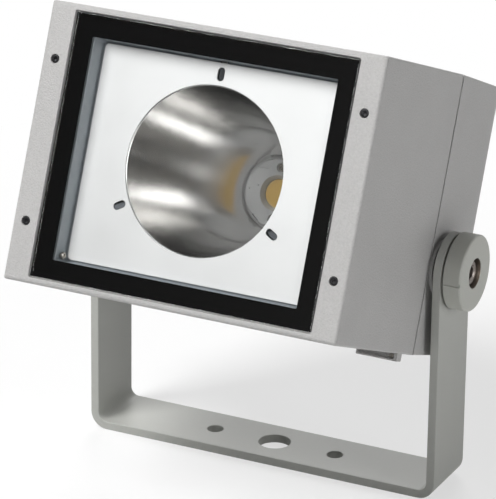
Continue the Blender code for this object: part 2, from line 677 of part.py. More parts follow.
def optic_frame(material, head):
    """A pressed frame with drafted walls: its flange sits behind the casting, its lip carries the plate."""

    def walls(depth, out=0.0):
        draft = WINDOW_SIDE - frame_wall(depth)
        inset = draft - out
        return (depth, WINDOW_SIDE - inset, WINDOW_TOP - inset, WINDOW_BOTTOM + inset, FRAME_CORNER + out)

    back = FRAME_BACK + SHEET
    body = add("optic_frame", loft([walls(FRAME_FRONT, SHEET), walls(back, SHEET)]), material, head)
    flange = walls(FRAME_FRONT, FRAME_FLANGE)[1:]
    fuse(body, loft([(FRAME_FRONT, *flange), (FRAME_FRONT + SHEET, *flange)]))
    ear_end = FRONT_SCREW_X + FRONT_SCREW[0]
    for height in FRONT_SCREW_HEIGHTS:
        low = at(-ear_end, FRAME_FRONT, height - EAR_WIDTH / 2)
        high = at(ear_end, FRAME_FRONT + SHEET, height + EAR_WIDTH / 2)
        fuse(body, block(low, high))
    cut(body, loft([walls(FRAME_FRONT - OVERSHOOT), walls(FRAME_BACK)]))
    lip = walls(FRAME_BACK, -FRAME_LIP)[1:4]
    cut(body, loft([(FRAME_FRONT, *lip, FRAME_CORNER), (back + OVERSHOOT, *lip, FRAME_CORNER)]))
    notch = CLIP_WIDTH / 2 + OVERLAP
    low = at(-notch, FRAME_BACK - GAP, lip[1] - OVERSHOOT)
    cut(body, block(low, at(notch, back + OVERSHOOT, walls(FRAME_BACK)[2])))
    shank = FRONT_SCREW[2] + THREAD_GAP
    holes = [rod(Y_AXIS, 0, 2 * FLANGE, shank, at(x, 0, z)) for x, z in front_screw_places()]
    cut(body, merged(holes))
    depth, height = frame_screw_place()
    reach = WINDOW_SIDE + OVERSHOOT
    cut(body, rod(X_AXIS, -reach, reach, FRAME_SCREW[2] + THREAD_GAP, at(0, depth, height)))
    return body


def radial(angle, radius, depth):
    """A point at an angle and radius about the reflector's mouth."""
    turn = math.radians(angle)
    return at(radius * math.cos(turn), depth, MOUTH_HEIGHT + radius * math.sin(turn))


def reflector_plate(material, head):
    """The flat mirror round the bowl's mouth, with its radial slots."""
    side = frame_wall(PLATE_FRONT) - PLATE_EDGE_GAP
    inset = WINDOW_SIDE - side
    edge = (side, WINDOW_TOP - inset, WINDOW_BOTTOM + inset, FRAME_CORNER)
    plate_back = PLATE_FRONT + PLATE_THICKNESS
    plate = add("reflector_plate", loft([(PLATE_FRONT, *edge), (plate_back, *edge)]), material, head)
    hole = MOUTH_RADIUS + PLATE_HOLE_MARGIN
    cut(plate, rod(Y_AXIS, 0, 2 * FRAME_BACK, hole, at(0, 0, MOUTH_HEIGHT), BOWL_SEGMENTS))
    for angle in SLOT_ANGLES:
        turn = math.radians(angle)
        along = Vector((math.cos(turn), 0, math.sin(turn)))
        across = Vector((-math.sin(turn), 0, math.cos(turn)))
        middle = radial(angle, SLOT_RADIUS, 0)
        straight = (SLOT_LENGTH - SLOT_WIDTH) / 2
        points = []
        for end in (1, -1):
            for step in range(9):
                sweep = math.radians(-90 + 180 * step / 8)
                reach = straight + SLOT_WIDTH / 2 * math.cos(sweep)
                points.append(middle + end * (along * reach + across * SLOT_WIDTH / 2 * math.sin(sweep)))
        cut(plate, prism(points, Y_AXIS * 2 * FRAME_BACK))
    return plate


def reflector_clip(name, angle, material, head):
    """A spring clip: its foot lies on the plate's back and its nose holds the bowl's bead."""
    turn = math.radians(angle)
    across = Vector((-math.sin(turn), 0, math.cos(turn))) * CLIP_WIDTH
    plate_back = PLATE_FRONT + PLATE_THICKNESS + GAP
    bead_back = plate_back + BOWL_WALL + GAP
    nose = MOUTH_RADIUS + BOWL_WALL
    bead_edge = nose + BEAD_WIDTH + GAP
    heel = SLOT_RADIUS + SLOT_LENGTH / 2 + CLIP_SHEET
    foot = heel + CLIP_FOOT
    shape = [
        (nose + GAP, bead_back),
        (bead_edge, bead_back),
        (heel, plate_back),
        (foot, plate_back),
        (foot, plate_back + CLIP_SHEET),
        (heel + CLIP_SHEET, plate_back + CLIP_SHEET),
        (bead_edge + CLIP_SHEET, bead_back + CLIP_SHEET),
        (nose + GAP, bead_back + CLIP_SHEET),
    ]
    points = [radial(angle, radius, depth) - across / 2 for radius, depth in shape]
    add(name, prism(points, across), material, head)


def reflector(material, head):
    """A spun bowl of even wall. Its section is a parabola, and it is sheared so that the LED end lies lower."""
    front = PLATE_FRONT + PLATE_THICKNESS + GAP
    curve_end = BOWL_BACK - NECK_LENGTH
    inside = []
    for step in range(BOWL_STEPS + 1):
        part = step / BOWL_STEPS
        squared = MOUTH_RADIUS**2 + (NECK_RADIUS**2 - MOUTH_RADIUS**2) * part
        inside.append((front + (curve_end - front) * part, math.sqrt(squared)))
    inside.append((BOWL_BACK, NECK_RADIUS))
    outside = [(along, radius + BOWL_WALL) for along, radius in inside[1:]]
    bead_radius = MOUTH_RADIUS + BOWL_WALL + BEAD_WIDTH
    bead = [(front + BOWL_WALL, MOUTH_RADIUS + BOWL_WALL), (front + BOWL_WALL, bead_radius), (front, bead_radius)]
    bowl = turned(Y_AXIS, inside + outside[::-1] + bead, (0, -front, 0), BOWL_SEGMENTS)
    shear = Matrix.Identity(4)
    shear[2][1] = -LED_DROP / (BOWL_BACK - front)
    bmesh.ops.transform(bowl, matrix=shear, verts=bowl.verts)
    bmesh.ops.translate(bowl, verts=bowl.verts, vec=at(0, front, MOUTH_HEIGHT))
    add("reflector", bowl, material, head)


def light_source(finishes, head):
    """Pad, board, emitting disc and the round holder that clamps them to the pedestal."""
    centre = at(0, 0, LED_HEIGHT)
    pad = add("thermal_pad", rod(Y_AXIS, PAD_FRONT, LED_PLANE - GAP, PAD_RADIUS, centre), finishes["pad"], head)
    half = BOARD_SIDE / 2
    low, high = at(-half, BOARD_FRONT, LED_HEIGHT - half), at(half, PAD_FRONT - GAP, LED_HEIGHT + half)
    add("led_board", block(low, high), finishes["aluminium"], head)
    emitter_span = (EMITTER_FRONT, BOARD_FRONT - GAP)
    add("led_emitter", rod(Y_AXIS, *emitter_span, EMITTER_RADIUS, centre, SEGMENTS), finishes["phosphor"], head)
    opening = EMITTER_RADIUS + GAP
    profile = [
        (HOLDER_FRONT, opening + HOLDER_CONE),
        (HOLDER_FRONT, HOLDER_RADIUS),
        (HOLDER_STEP, HOLDER_RADIUS),
        (HOLDER_STEP, HOLDER_FOOT_RADIUS),
        (HOLDER_BACK, HOLDER_FOOT_RADIUS),
        (HOLDER_BACK, opening),
        (EMITTER_FRONT, opening),
    ]
    holder = add("led_holder", turned(Y_AXIS, profile, centre, SEGMENTS), finishes["holder"], head)
    pocket = half + GAP
    low = at(-pocket, BOARD_FRONT - GAP, LED_HEIGHT - pocket)
    high = at(pocket, HOLDER_BACK + OVERSHOOT, LED_HEIGHT + pocket)
    cut(holder, block(low, high))
    head_radius, head_height, shank = HOLDER_SCREW[0], HOLDER_SCREW[1], HOLDER_SCREW[2]
    seat = HOLDER_FRONT + HOLDER_SCREW_SINK
    sink = [
        (HOLDER_FRONT - OVERSHOOT, 0),
        (HOLDER_FRONT - OVERSHOOT, head_radius + GAP),
        (seat, head_radius + GAP),
        (seat + head_height, shank + THREAD_GAP),
        (LED_PLANE, shank + THREAD_GAP),
        (LED_PLANE, 0),
    ]
    for number, (x, rise) in enumerate(holder_screw_offsets(), 1):
        place = at(x, 0, LED_HEIGHT + rise)
        cut(holder, turned(Y_AXIS, sink, place, SMALL_SEGMENTS))
        cut(pad, rod(Y_AXIS, HOLDER_BACK, LED_PLANE, shank + THREAD_GAP, place))
        name, steel = f"holder_screw_{number}", finishes["steel"]
        screw(name, HOLDER_SCREW, HOLDER_SCREW_LENGTH, Y_AXIS, seat, place, steel, head, countersunk=True)
    notch_low = at(-HOLDER_RADIUS, HOLDER_FRONT - OVERSHOOT, LED_HEIGHT + HOLDER_RADIUS / 2 + WALL)
    notch_high = at(-HOLDER_SCREW_CIRCLE / 2, HOLDER_STEP - GAP, LED_HEIGHT + HOLDER_RADIUS)
    cut(holder, block(notch_low, notch_high))


def bent_bar():
    """The yoke as a bar bent to a U. Stations run along it, each a ring with its four edges chamfered."""
    half, outside, chamfer = BAR_WIDTH / 2, ARM_OUTSIDE, BAR_CHAMFER
    bend_outside = BEND_RADIUS + BAR_THICKNESS
    mesh = bmesh.new()

    def ring(place, normal, angle, up):
        """Points of one station: place on the outer face, normal towards the inner face."""
        points = []
        for depth, radius in ((0, half - chamfer), (chamfer, half), (BAR_THICKNESS - chamfer, half),
                              (BAR_THICKNESS, half - chamfer)):
            middle = place + normal * depth + up * radius * math.sin(angle)
            points.append((middle, radius * math.cos(angle)))
        back = [middle + Y_AXIS * width for middle, width in points]
        front = [middle - Y_AXIS * width for middle, width in reversed(points)]
        return [mesh.verts.new(point) for point in back + front]

    rings = []
    for side in (-1, 1):
        inwards = X_AXIS * -side
        arm = []
        for step in range(ARM_TOP_STEPS + 1):
            angle = math.radians(90 * (1 - step / ARM_TOP_STEPS))
            arm.append(ring(Vector((side * outside, 0, AXIS_HEIGHT)), inwards, angle, Z_AXIS))
        for step in range(BEND_STEPS + 1):
            turn = math.radians(90 * step / BEND_STEPS)
            centre = Vector((side * (outside - bend_outside), 0, bend_outside))
            outwards = Vector((side * math.cos(turn), 0, -math.sin(turn)))
            arm.append(ring(centre + outwards * bend_outside, -outwards, 0, Z_AXIS))
        rings += arm if side < 0 else arm[::-1]
    for near, far in zip(rings, rings[1:]):
        for i, point in enumerate(near):
            mesh.faces.new((point, near[i - 1], far[i - 1], far[i]))
    bmesh.ops.remove_doubles(mesh, verts=mesh.verts, dist=WELD)
    bmesh.ops.recalc_face_normals(mesh, faces=mesh.faces)
    return mesh


def yoke(material, place):
    bar = add("yoke", bent_bar(), material, place)
    for x, size in ((-SIDE_HOLE_OFFSET, SIDE_HOLE), (0, CENTRE_HOLE), (SIDE_HOLE_OFFSET, SIDE_HOLE)):
        cut(bar, rod(Z_AXIS, -OVERSHOOT, BAR_THICKNESS + OVERSHOOT, size / 2, (x, 0, 0), SEGMENTS))
    for side in (-1, 1):
        span = (side * (ARM_INSIDE - OVERSHOOT), side * (ARM_OUTSIDE + OVERSHOOT))
        cut(bar, rod(X_AXIS, *span, BOLT_RADIUS + BOLT_PLAY, Z_AXIS * AXIS_HEIGHT, SEGMENTS))


def pivot_disc(name, side, material, place):
    """A turned disc with a rounded rim, a recess for the bolt head and an index groove in its flank."""
    profile = [(DISC_INSIDE, BOLT_RADIUS + BOLT_PLAY), (DISC_INSIDE, DISC_RADIUS)]
    for step in range(ROUND_STEPS + 1):
        angle = math.radians(90 * step / ROUND_STEPS)
        along = DISC_FACE - DISC_ROUND * (1 - math.sin(angle))
        profile.append((along, DISC_RADIUS - DISC_ROUND * (1 - math.cos(angle))))
    profile += [(DISC_FACE, RECESS_RADIUS), (RECESS_SEAT, RECESS_RADIUS), (RECESS_SEAT, BOLT_RADIUS + BOLT_PLAY)]
    centre = Z_AXIS * AXIS_HEIGHT
    disc = add(name, turned(X_AXIS * side, profile, centre, BOWL_SEGMENTS), material, place)
    near, far = sorted((side * (DISC_INSIDE - OVERSHOOT), side * (DISC_FACE + OVERSHOOT)))
    low = Vector((near, -DISC_RADIUS - OVERSHOOT, AXIS_HEIGHT - GROOVE_WIDTH / 2))
    high = Vector((far, GROOVE_DEPTH - DISC_RADIUS, AXIS_HEIGHT + GROOVE_WIDTH / 2))
    cut(disc, block(low, high))


def pivots(finishes, place, head):
    """On each side, from the head outwards: friction washer, arm, disc, lock washer and clamp bolt."""
    for side, word in ((-1, "left"), (1, "right")):
        axis = X_AXIS * side
        bore = BOLT_RADIUS + THREAD_GAP
        ring = pipe(axis, WASHER_INSIDE, WASHER_OUTSIDE, BOSS_RADIUS, bore)
        add(f"friction_washer_{word}", ring, finishes["fibre"], head)
        pivot_disc(f"pivot_disc_{word}", side, finishes["paint"], place)
        washer = (RECESS_SEAT + GAP, LOCK_WASHER_OUTSIDE, LOCK_WASHER_RADIUS, bore)
        lock = pipe(axis, *washer, Z_AXIS * AXIS_HEIGHT, SMALL_SEGMENTS)
        add(f"lock_washer_{word}", lock, finishes["steel"], place)
        size = (BOLT_HEAD_RADIUS, BOLT_HEAD_HEIGHT, BOLT_RADIUS, BOLT_SOCKET, BOLT_SOCKET_DEPTH)
        length = BOLT_SEAT - BOLT_END
        name = f"clamp_bolt_{word}"
        screw(name, size, length, -axis, -BOLT_SEAT, (0, 0, 0), finishes["steel"], head)


def small_screws(finishes, head):
    """The screws of the castings, the optic frame and the lug."""
    seat = FRONT_SCREW_SINK + FRONT_SCREW[1]
    for number, (x, height) in enumerate(front_screw_places(), 1):
        name, place = f"front_screw_{number}", at(x, 0, height)
        screw(name, FRONT_SCREW, FRONT_SCREW_LENGTH, Y_AXIS, seat, place, finishes["black_steel"], head)
    for number, (x, height) in enumerate(column_places(), 1):
        name, place = f"housing_screw_{number}", at(x, 0, height)
        length = FIN_ROOT - FRONT_END + HOUSING_SCREW_BITE
        screw(name, HOUSING_SCREW, length, -Y_AXIS, -FIN_ROOT, place, finishes["steel"], head)
    depth, height = frame_screw_place()
    wall = frame_wall(depth) - FRAME_DRAFT * FRAME_SCREW[0] / FRAME_DEPTH - GAP
    for side, word in ((-1, "left"), (1, "right")):
        axis, place = X_AXIS * side, at(0, depth, height)
        name = f"frame_screw_{word}"
        screw(name, FRAME_SCREW, FRAME_SCREW_LENGTH, axis, wall, place, finishes["steel"], head)
    place, seat = at(LUG_OUTER - LUG_SCREW_FROM_END, 0, lug_screw_height()), LUG_DEPTH + LUG_POCKET - GAP
    screw("lug_screw", LUG_SCREW, LUG_SCREW_LENGTH, Y_AXIS, seat, place, finishes["steel"], head)


def driver_parts(finishes, head):
    """The LED driver on its two bosses and the screws in its end ears."""
    half = DRIVER_WIDTH / 2
    ear_back = CAVITY_END - DRIVER_BOSS_HEIGHT - GAP
    top = DRIVER_BOTTOM + DRIVER_LENGTH
    low = at(DRIVER_X - half, CAVITY_END - GAP - DRIVER_HEIGHT, DRIVER_BOTTOM)
    high = at(DRIVER_X + half, CAVITY_END - GAP, top)
    case = add("led_driver", block(low, high), finishes["case"], head)
    low = at(DRIVER_X - DRIVER_EAR, ear_back - DRIVER_EAR_THICKNESS, DRIVER_BOTTOM - DRIVER_EAR)
    high = at(DRIVER_X + DRIVER_EAR, ear_back, top + DRIVER_EAR)
    fuse(case, block(low, high))
    holes = [rod(Y_AXIS, 0, HEAD_DEPTH, DRIVER_SCREW[2] + THREAD_GAP, at(x, 0, z)) for x, z in driver_screw_places()]
    cut(case, merged(holes))
    seat = ear_back - DRIVER_EAR_THICKNESS - GAP
    for number, (x, height) in enumerate(driver_screw_places(), 1):
        length = CAVITY_END - DRIVER_BOSS_HEIGHT + DRIVER_SCREW_BITE - seat
        name, place = f"driver_screw_{number}", at(x, 0, height)
        screw(name, DRIVER_SCREW, length, Y_AXIS, seat, place, finishes["steel"], head)


def wiring_parts(finishes, head):
    """Terminal block and earth screw on the back wall."""
    width, tall, deep = TERMINAL_SIZE
    front = CAVITY_END - GAP - deep
    low = at(TERMINAL_X - width / 2, front, TERMINAL_HEIGHT - tall / 2)
    high = at(TERMINAL_X + width / 2, CAVITY_END - GAP, TERMINAL_HEIGHT + tall / 2)
    body = add("terminal_block", block(low, high), finishes["holder"], head)
    ways = []
    for way in range(TERMINAL_WAYS):
        x = TERMINAL_X + (way - (TERMINAL_WAYS - 1) / 2) * TERMINAL_WAY_PITCH
        for direction in (-1, 1):
            start = TERMINAL_HEIGHT + direction * (tall / 2 + OVERSHOOT)
            end = TERMINAL_HEIGHT + direction * (TERMINAL_SCREW[0] + 2 * GAP)
            ways.append(rod(Z_AXIS, start, end, TERMINAL_WAY_RADIUS, at(x, front + deep / 2, 0)))
    cut(body, merged(ways))
    head_radius, head_height, shank = TERMINAL_SCREW[0], TERMINAL_SCREW[1], TERMINAL_SCREW[2]
    seat = front + head_height + GAP
    well = [
        (front - OVERSHOOT, 0),
        (front - OVERSHOOT, head_radius + GAP),
        (seat + GAP, head_radius + GAP),
        (seat + GAP, shank + THREAD_GAP),
        (HEAD_DEPTH, shank + THREAD_GAP),
        (HEAD_DEPTH, 0),
    ]
    place = at(TERMINAL_X, 0, TERMINAL_HEIGHT)
    cut(body, turned(Y_AXIS, well, place, SMALL_SEGMENTS))
    length = CAVITY_END + blind_depth(TERMINAL_SCREW) - seat - GAP
    screw("terminal_screw", TERMINAL_SCREW, length, Y_AXIS, seat, place, finishes["steel"], head)
    seat = CAVITY_END - EARTH_BOSS_HEIGHT - GAP
    place = at(EARTH_PLACE[0], 0, EARTH_PLACE[1])
    screw("earth_screw", EARTH_SCREW, DRIVER_SCREW_BITE, Y_AXIS, seat, place, finishes["brass"], head)


def lead(name, route, radius, material, head):
    """An insulated lead along a smooth route between two fixed ends."""
    curve = bpy.data.curves.new(name, "CURVE")
    curve.dimensions = "3D"
    curve.bevel_depth = radius
    curve.bevel_resolution = 2
    curve.use_fill_caps = True
    points = smooth_route(route)
    spline = curve.splines.new("POLY")
    spline.points.add(len(points) - 1)
    for item, point in zip(spline.points, points):
        item.co = (*point, 1)
    curve.materials.append(material)
    obj = bpy.data.objects.new(name, curve)
    bpy.context.scene.collection.objects.link(obj)
    obj.parent = head


def smooth_route(route, steps=3):
    """Catmull-Rom points through the route's own points."""
    knots = [route[0] * 2 - route[1], *route, route[-1] * 2 - route[-2]]
    points = []
    for a, b, c, d in zip(knots, knots[1:], knots[2:], knots[3:]):
        for step in range(steps):
            t = step / steps
            along = (c - a) * t + (2 * a - 5 * b + 4 * c - d) * t**2 + (3 * b - a - 3 * c + d) * t**3
            points.append(b + along / 2)
    return [*points, route[-1]]


def leads(finishes, head):
    """The lead from driver to LED, and the one from terminal block to driver."""
    side = DRIVER_X + DRIVER_WIDTH / 2 + GAP
    middle = CAVITY_END - DRIVER_HEIGHT / 2
    away = Vector((math.cos(LED_LEAD_ANGLE), 0, math.sin(LED_LEAD_ANGLE)))
    foot = at(0, (HOLDER_STEP + HOLDER_BACK) / 2, LED_HEIGHT) + away * (HOLDER_FOOT_RADIUS + GAP)
    away *= LEAD_RUN_OUT
    out = Vector((LEAD_RUN_OUT, 0, 0))
    start = at(side, middle, LED_LEAD_HEIGHT)
    route = [start, start + out / 2, start + out, foot + away, foot + away / 2, foot]
    lead("led_lead", route, LED_LEAD_RADIUS, finishes["lead"], head)
    block_top = TERMINAL_HEIGHT + TERMINAL_SIZE[1] / 2 + GAP
    depth = CAVITY_END - GAP - TERMINAL_SIZE[2] / 2
    end = at(side, middle, DRIVER_LEAD_HEIGHT)
    bottom = at(TERMINAL_X, depth, block_top)
    run = DRIVER_LEAD_HEIGHT
    rise = Z_AXIS * LEAD_RUN_OUT
    route = [
        bottom,
        bottom + rise / 2,
        bottom + rise,
        at(TERMINAL_X / 2, depth, run),
        at(-TERMINAL_X / 4, depth, run),
        end + out,
        end + out / 2,
        end,
    ]
    lead("driver_lead", route, DRIVER_LEAD_RADIUS, finishes["lead"], head)


def cable_entry(finishes, head):
    """The gland screwed into its boss between the fins, and the vent plug beside it."""
    centre = at(0, 0, ENTRY_HEIGHT)
    seat = HEAD_DEPTH + GAP
    hex_end = seat + GLAND_HEX_HEIGHT
    thread_end = seat - GLAND_THREAD_LENGTH
    body = add("gland_body", hexagon(Y_AXIS, seat, hex_end, GLAND_FLATS, centre), finishes["nylon"], head)
    fuse(body, rod(Y_AXIS, thread_end, hex_end - OVERLAP, GLAND_THREAD_RADIUS, centre, SEGMENTS))
    neck_end = hex_end + GLAND_NECK_LENGTH
    fuse(body, rod(Y_AXIS, hex_end - OVERLAP, neck_end, GLAND_NECK_RADIUS, centre, SEGMENTS))
    cut(body, rod(Y_AXIS, thread_end - OVERSHOOT, neck_end + OVERSHOOT, GLAND_BORE_RADIUS, centre))
    dome_start, dome_end = hex_end + GAP, hex_end + GAP + GLAND_DOME_LENGTH
    inner = GLAND_NECK_RADIUS + THREAD_GAP
    outer = inner + GLAND_DOME_WALL
    seal_end = neck_end + GAP + GLAND_SEAL_LENGTH / 2
    dome = [
        (dome_start, inner),
        (dome_start, outer),
        (dome_end - GLAND_DOME_WALL, outer),
        (dome_end - GLAND_DOME_WALL / 3, outer - GLAND_DOME_WALL / 2),
        (dome_end, GLAND_BORE_RADIUS + GLAND_DOME_WALL / 2),
        (dome_end, GLAND_BORE_RADIUS),
        (seal_end + GAP, GLAND_BORE_RADIUS),
        (seal_end + GAP, inner),
    ]
    add("gland_dome", turned(Y_AXIS, dome, centre), finishes["nylon"], head)
    seal = (neck_end + GAP, seal_end, inner - GAP, inner - GAP - GLAND_SEAL_WALL)
    add("gland_seal", pipe(Y_AXIS, *seal, centre, SMALL_SEGMENTS), finishes["rubber"], head)
    seat = FIN_ROOT
    vent_end = seat + VENT_HEIGHT
    vent = [
        (seat - VENT_THREAD_LENGTH, 0),
        (seat - VENT_THREAD_LENGTH, VENT_THREAD_RADIUS),
        (seat, VENT_THREAD_RADIUS),
        (seat, VENT_RADIUS),
        (vent_end - OVERLAP, VENT_RADIUS),
        (vent_end, VENT_RADIUS - OVERLAP),
        (vent_end, 0),
    ]
    place = at(VENT_X, 0, ENTRY_HEIGHT)
    add("vent_plug", turned(Y_AXIS, vent, place, SMALL_SEGMENTS), finishes["nylon"], head)


def make_finishes():
    return {
        "paint": finish("grey_powder_coat", 165, 167, 162, 0.5),
        "paint_face": finish("grey_powder_coat_head", 176, 177, 173, 0.55),
        "glass": finish("tempered_glass", 200, 210, 210, 0.03),
        "rubber": finish("black_silicone", 28, 28, 30, 0.7),
        "sheet": finish("grey_coated_sheet", 122, 126, 130, 0.4, 0.6),
        "plate": finish("bright_aluminium_sheet", 235, 238, 240, 0.12, 1.0),
        "bowl": finish("spun_aluminium", 205, 208, 210, 0.16, 1.0),
        "spring": finish("blackened_spring_steel", 40, 40, 42, 0.45, 0.8),
        "steel": finish("stainless_steel", 150, 148, 144, 0.3, 1.0),
        "black_steel": finish("blackened_steel", 52, 52, 54, 0.4, 0.9),
        "aluminium": finish("plain_aluminium", 200, 202, 204, 0.35, 1.0),
        "phosphor": finish("amber_phosphor", 214, 165, 80, 0.6),
        "holder": finish("white_moulded_plastic", 200, 200, 200, 0.45),
        "pad": finish("grey_thermal_pad", 120, 122, 126, 0.8),
        "case": finish("white_driver_case", 225, 226, 224, 0.5),
        "lead": finish("silicone_insulation", 60, 60, 64, 0.6),
        "nylon": finish("black_nylon", 34, 34, 36, 0.5),
        "brass": finish("brass", 190, 160, 95, 0.3, 1.0),
        "fibre": finish("fibre_washer", 60, 58, 55, 0.85),
    }


def build():
    for obj in list(bpy.data.objects):
        bpy.data.objects.remove(obj, do_unlink=True)
    finishes = make_finishes()
    place = bpy.data.objects.new("yoke_place", None)
    head = bpy.data.objects.new("head_axis", None)
    for empty in (place, head):
        bpy.context.scene.collection.objects.link(empty)
    place.location = (0, axis_setback(), 0)
    head.location = (0, axis_setback(), AXIS_HEIGHT)
    head.rotation_euler = (-HEAD_TILT, 0, 0)
    yoke(finishes["paint"], place)
    pivots(finishes, place, head)
    front_housing(finishes["paint_face"], head)
    rear_housing(finishes["paint_face"], head)
    housing_gasket(finishes["rubber"], head)
    glazing(finishes["glass"], finishes["rubber"], head)
    optic_frame(finishes["sheet"], head)
    reflector_plate(finishes["plate"], head)
    for number, angle in enumerate(SLOT_ANGLES, 1):
        reflector_clip(f"reflector_clip_{number}", angle, finishes["spring"], head)
    reflector(finishes["bowl"], head)
    light_source(finishes, head)
    small_screws(finishes, head)
    driver_parts(finishes, head)
    wiring_parts(finishes, head)
    leads(finishes, head)
    cable_entry(finishes, head)


build()
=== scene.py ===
"""Dresses the LED floodlight: a cast head that tilts in a yoke of flat bar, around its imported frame.

Sizes are in millimetres, but those of the studio's lamps and the point that they face are in metres. A
piece of the head is worked out in the head's own place, as x, depth behind the front face and height above
the tilt axis. A piece of the yoke is worked out as x, y from the pivot and z. Meshes are in metres, in the
frame's own place.
"""

import sys
import json
import logging
import math
from collections.abc import Iterable, Sequence
from dataclasses import dataclass
from enum import Enum

import bmesh
import bpy
import numpy as np
from mathutils import Matrix, Vector


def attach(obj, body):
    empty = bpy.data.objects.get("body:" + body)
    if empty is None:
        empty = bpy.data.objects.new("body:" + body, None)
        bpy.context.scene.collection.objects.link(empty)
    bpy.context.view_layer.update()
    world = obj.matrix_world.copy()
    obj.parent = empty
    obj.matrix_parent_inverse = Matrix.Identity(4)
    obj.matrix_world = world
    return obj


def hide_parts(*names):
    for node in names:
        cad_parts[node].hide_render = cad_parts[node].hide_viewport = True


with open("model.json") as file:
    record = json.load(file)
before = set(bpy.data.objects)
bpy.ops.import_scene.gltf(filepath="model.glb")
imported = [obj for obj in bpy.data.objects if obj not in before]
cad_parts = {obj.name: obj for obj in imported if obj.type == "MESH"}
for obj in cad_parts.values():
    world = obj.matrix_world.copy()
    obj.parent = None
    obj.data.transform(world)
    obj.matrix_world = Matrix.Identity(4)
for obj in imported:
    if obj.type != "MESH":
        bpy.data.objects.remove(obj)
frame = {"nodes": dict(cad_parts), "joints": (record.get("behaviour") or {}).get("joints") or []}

Array = np.ndarray
Material = bpy.types.Material
Object = bpy.types.Object
Socket = bpy.types.NodeSocket
Tree = bpy.types.NodeTree
Point = tuple[float, float, float]
# Start, end and radius of a round tool
Span = tuple[float, float, float]
# Half width, top, bottom and corner radius of a rounded rectangle
Edge = tuple[float, float, float, float]
# Red, green, blue and 1, in linear light
Colour = tuple[float, float, float, float]

MM = 0.001
WELD = 2e-6
SHARP = math.radians(34)
HINGE = next(joint for joint in frame["joints"] if joint["name"] == "head_tilt")
PIVOT = np.array(HINGE["pos_m"]) / MM
TILT = math.radians(22.5)
QUARTER = np.radians(np.linspace(0, 90, 9))
WAYS = (-1, 1)
SIDES = ((-1, "left"), (1, "right"))

# What several pieces share, in the head's place
AXIS_DEPTH = 156.0
FACE_SCREW_X = 110.7
FACE_SCREW_HEIGHTS = (89.6, -17.7)
FACE_SCREWS = [(way * FACE_SCREW_X, height) for way in WAYS for height in FACE_SCREW_HEIGHTS]
SIDE_SCREW = (0, 15.3, -36)
ENTRY_HEIGHT = -36.0
LED_HEIGHT = 28.0
LED_SCREW_REACH = 17.7

log = logging.getLogger("floodlight")


class Place(Enum):
    """The place in which a piece is worked out."""

    HEAD = "head"
    YOKE = "yoke"
    ROOM = "room"

    def to_world(self, points: Array) -> Array:
        """Turns points of this place into the frame's own.

        In the head, with d = depth - 156 and t = 22.5 degrees, y = d cos t + h sin t and z = h cos t -
        d sin t, both from the pivot. In the yoke only y is counted from the pivot.

        Args:
            points: Any array of points in this place, in millimetres.

        Returns:
            The same points in the frame's place, in millimetres.
        """
        if self is Place.ROOM:
            return points
        if self is Place.YOKE:
            return points + np.array([0, PIVOT[1], 0])
        depth, height = points[..., 1] - AXIS_DEPTH, points[..., 2]
        cos, sin = math.cos(TILT), math.sin(TILT)
        y, z = depth * cos + height * sin, height * cos - depth * sin
        return np.stack([points[..., 0], y + PIVOT[1], z + PIVOT[2]], -1)

    def point(self, *coordinates: float) -> Point:
        """One point of this place in the frame's own, in millimetres."""
        return tuple(self.to_world(np.array(coordinates)).tolist())


class Axis(Enum):
    """Which coordinate a turned shape runs along, and the two across it."""

    X = (0, 1, 2)
    DEPTH = (1, 0, 2)
    UP = (2, 0, 1)


class Surface:
    """Grids of points and flat caps that together close one or more shapes."""

    def __init__(self) -> None:
        """Starts with no points."""
        self.points: list[Array] = []
        self.faces: list[list[int]] = []
        self.count = 0

    def _add(self, points: Array) -> int:
        """Keeps points.

        Args:
            points: Any array of points.

        Returns:
            The number of the first.
        """
        first = self.count
        self.points.append(points.reshape(-1, 3))
        self.count += self.points[-1].shape[0]
        return first

    def grid(self, points: Array, ring: bool = False, wrap: bool = True) -> "Surface":
        """Adds quads between neighbours of a grid.

        Args:
            points: Rows by columns by 3.
            ring: Whether the last row also joins the first.
            wrap: Whether the last column also joins the first.

        Returns:
            The surface itself.
        """
        rows, columns = points.shape[:2]
        number = self._add(points) + np.arange(rows * columns).reshape(rows, columns)
        if wrap:
            number = np.concatenate([number, number[:, :1]], 1)
        if ring:
            number = np.concatenate([number, number[:1]], 0)
        quads = np.stack([number[:-1, :-1], number[:-1, 1:], number[1:, 1:], number[1:, :-1]], -1)
        self.faces += quads.reshape(-1, 4).tolist()
        return self

    def cap(self, ring: Array) -> "Surface":
        """Adds one flat face.

        Args:
            ring: The points round it.

        Returns:
            The surface itself.
        """
        first = self._add(ring)
        self.faces.append(list(range(first, self.count)))
        return self

    def join(self, other: "Surface") -> None:
        """Adds another surface that doesn't touch this one."""
        first = self._add(np.concatenate(other.points))
        self.faces += [[first + i for i in face] for face in other.faces]

    def make(self, name: str, place: Place = Place.HEAD) -> Object:
        """Makes the mesh object, with its doubles merged and its faces turned outwards.

        Args:
            name: The object's name.
            place: Where the points were worked out.

        Returns:
            The object, at the origin.
        """
        mesh = bpy.data.meshes.new(name)
        mesh.from_pydata((place.to_world(np.concatenate(self.points)) * MM).tolist(), [], self.faces)
        tidy_mesh(mesh)
        obj = bpy.data.objects.new(name, mesh)
        bpy.context.scene.collection.objects.link(obj)
        return obj


class Cut(Enum):
    """What a tool does to the piece that it meets."""

    TAKE = "DIFFERENCE"
    JOIN = "UNION"
    KEEP = "INTERSECT"

    def each(self, tools: Iterable[Surface]) -> list[tuple["Cut", Surface]]:
        """Each tool with this cut."""
        return [(self, tool) for tool in tools]


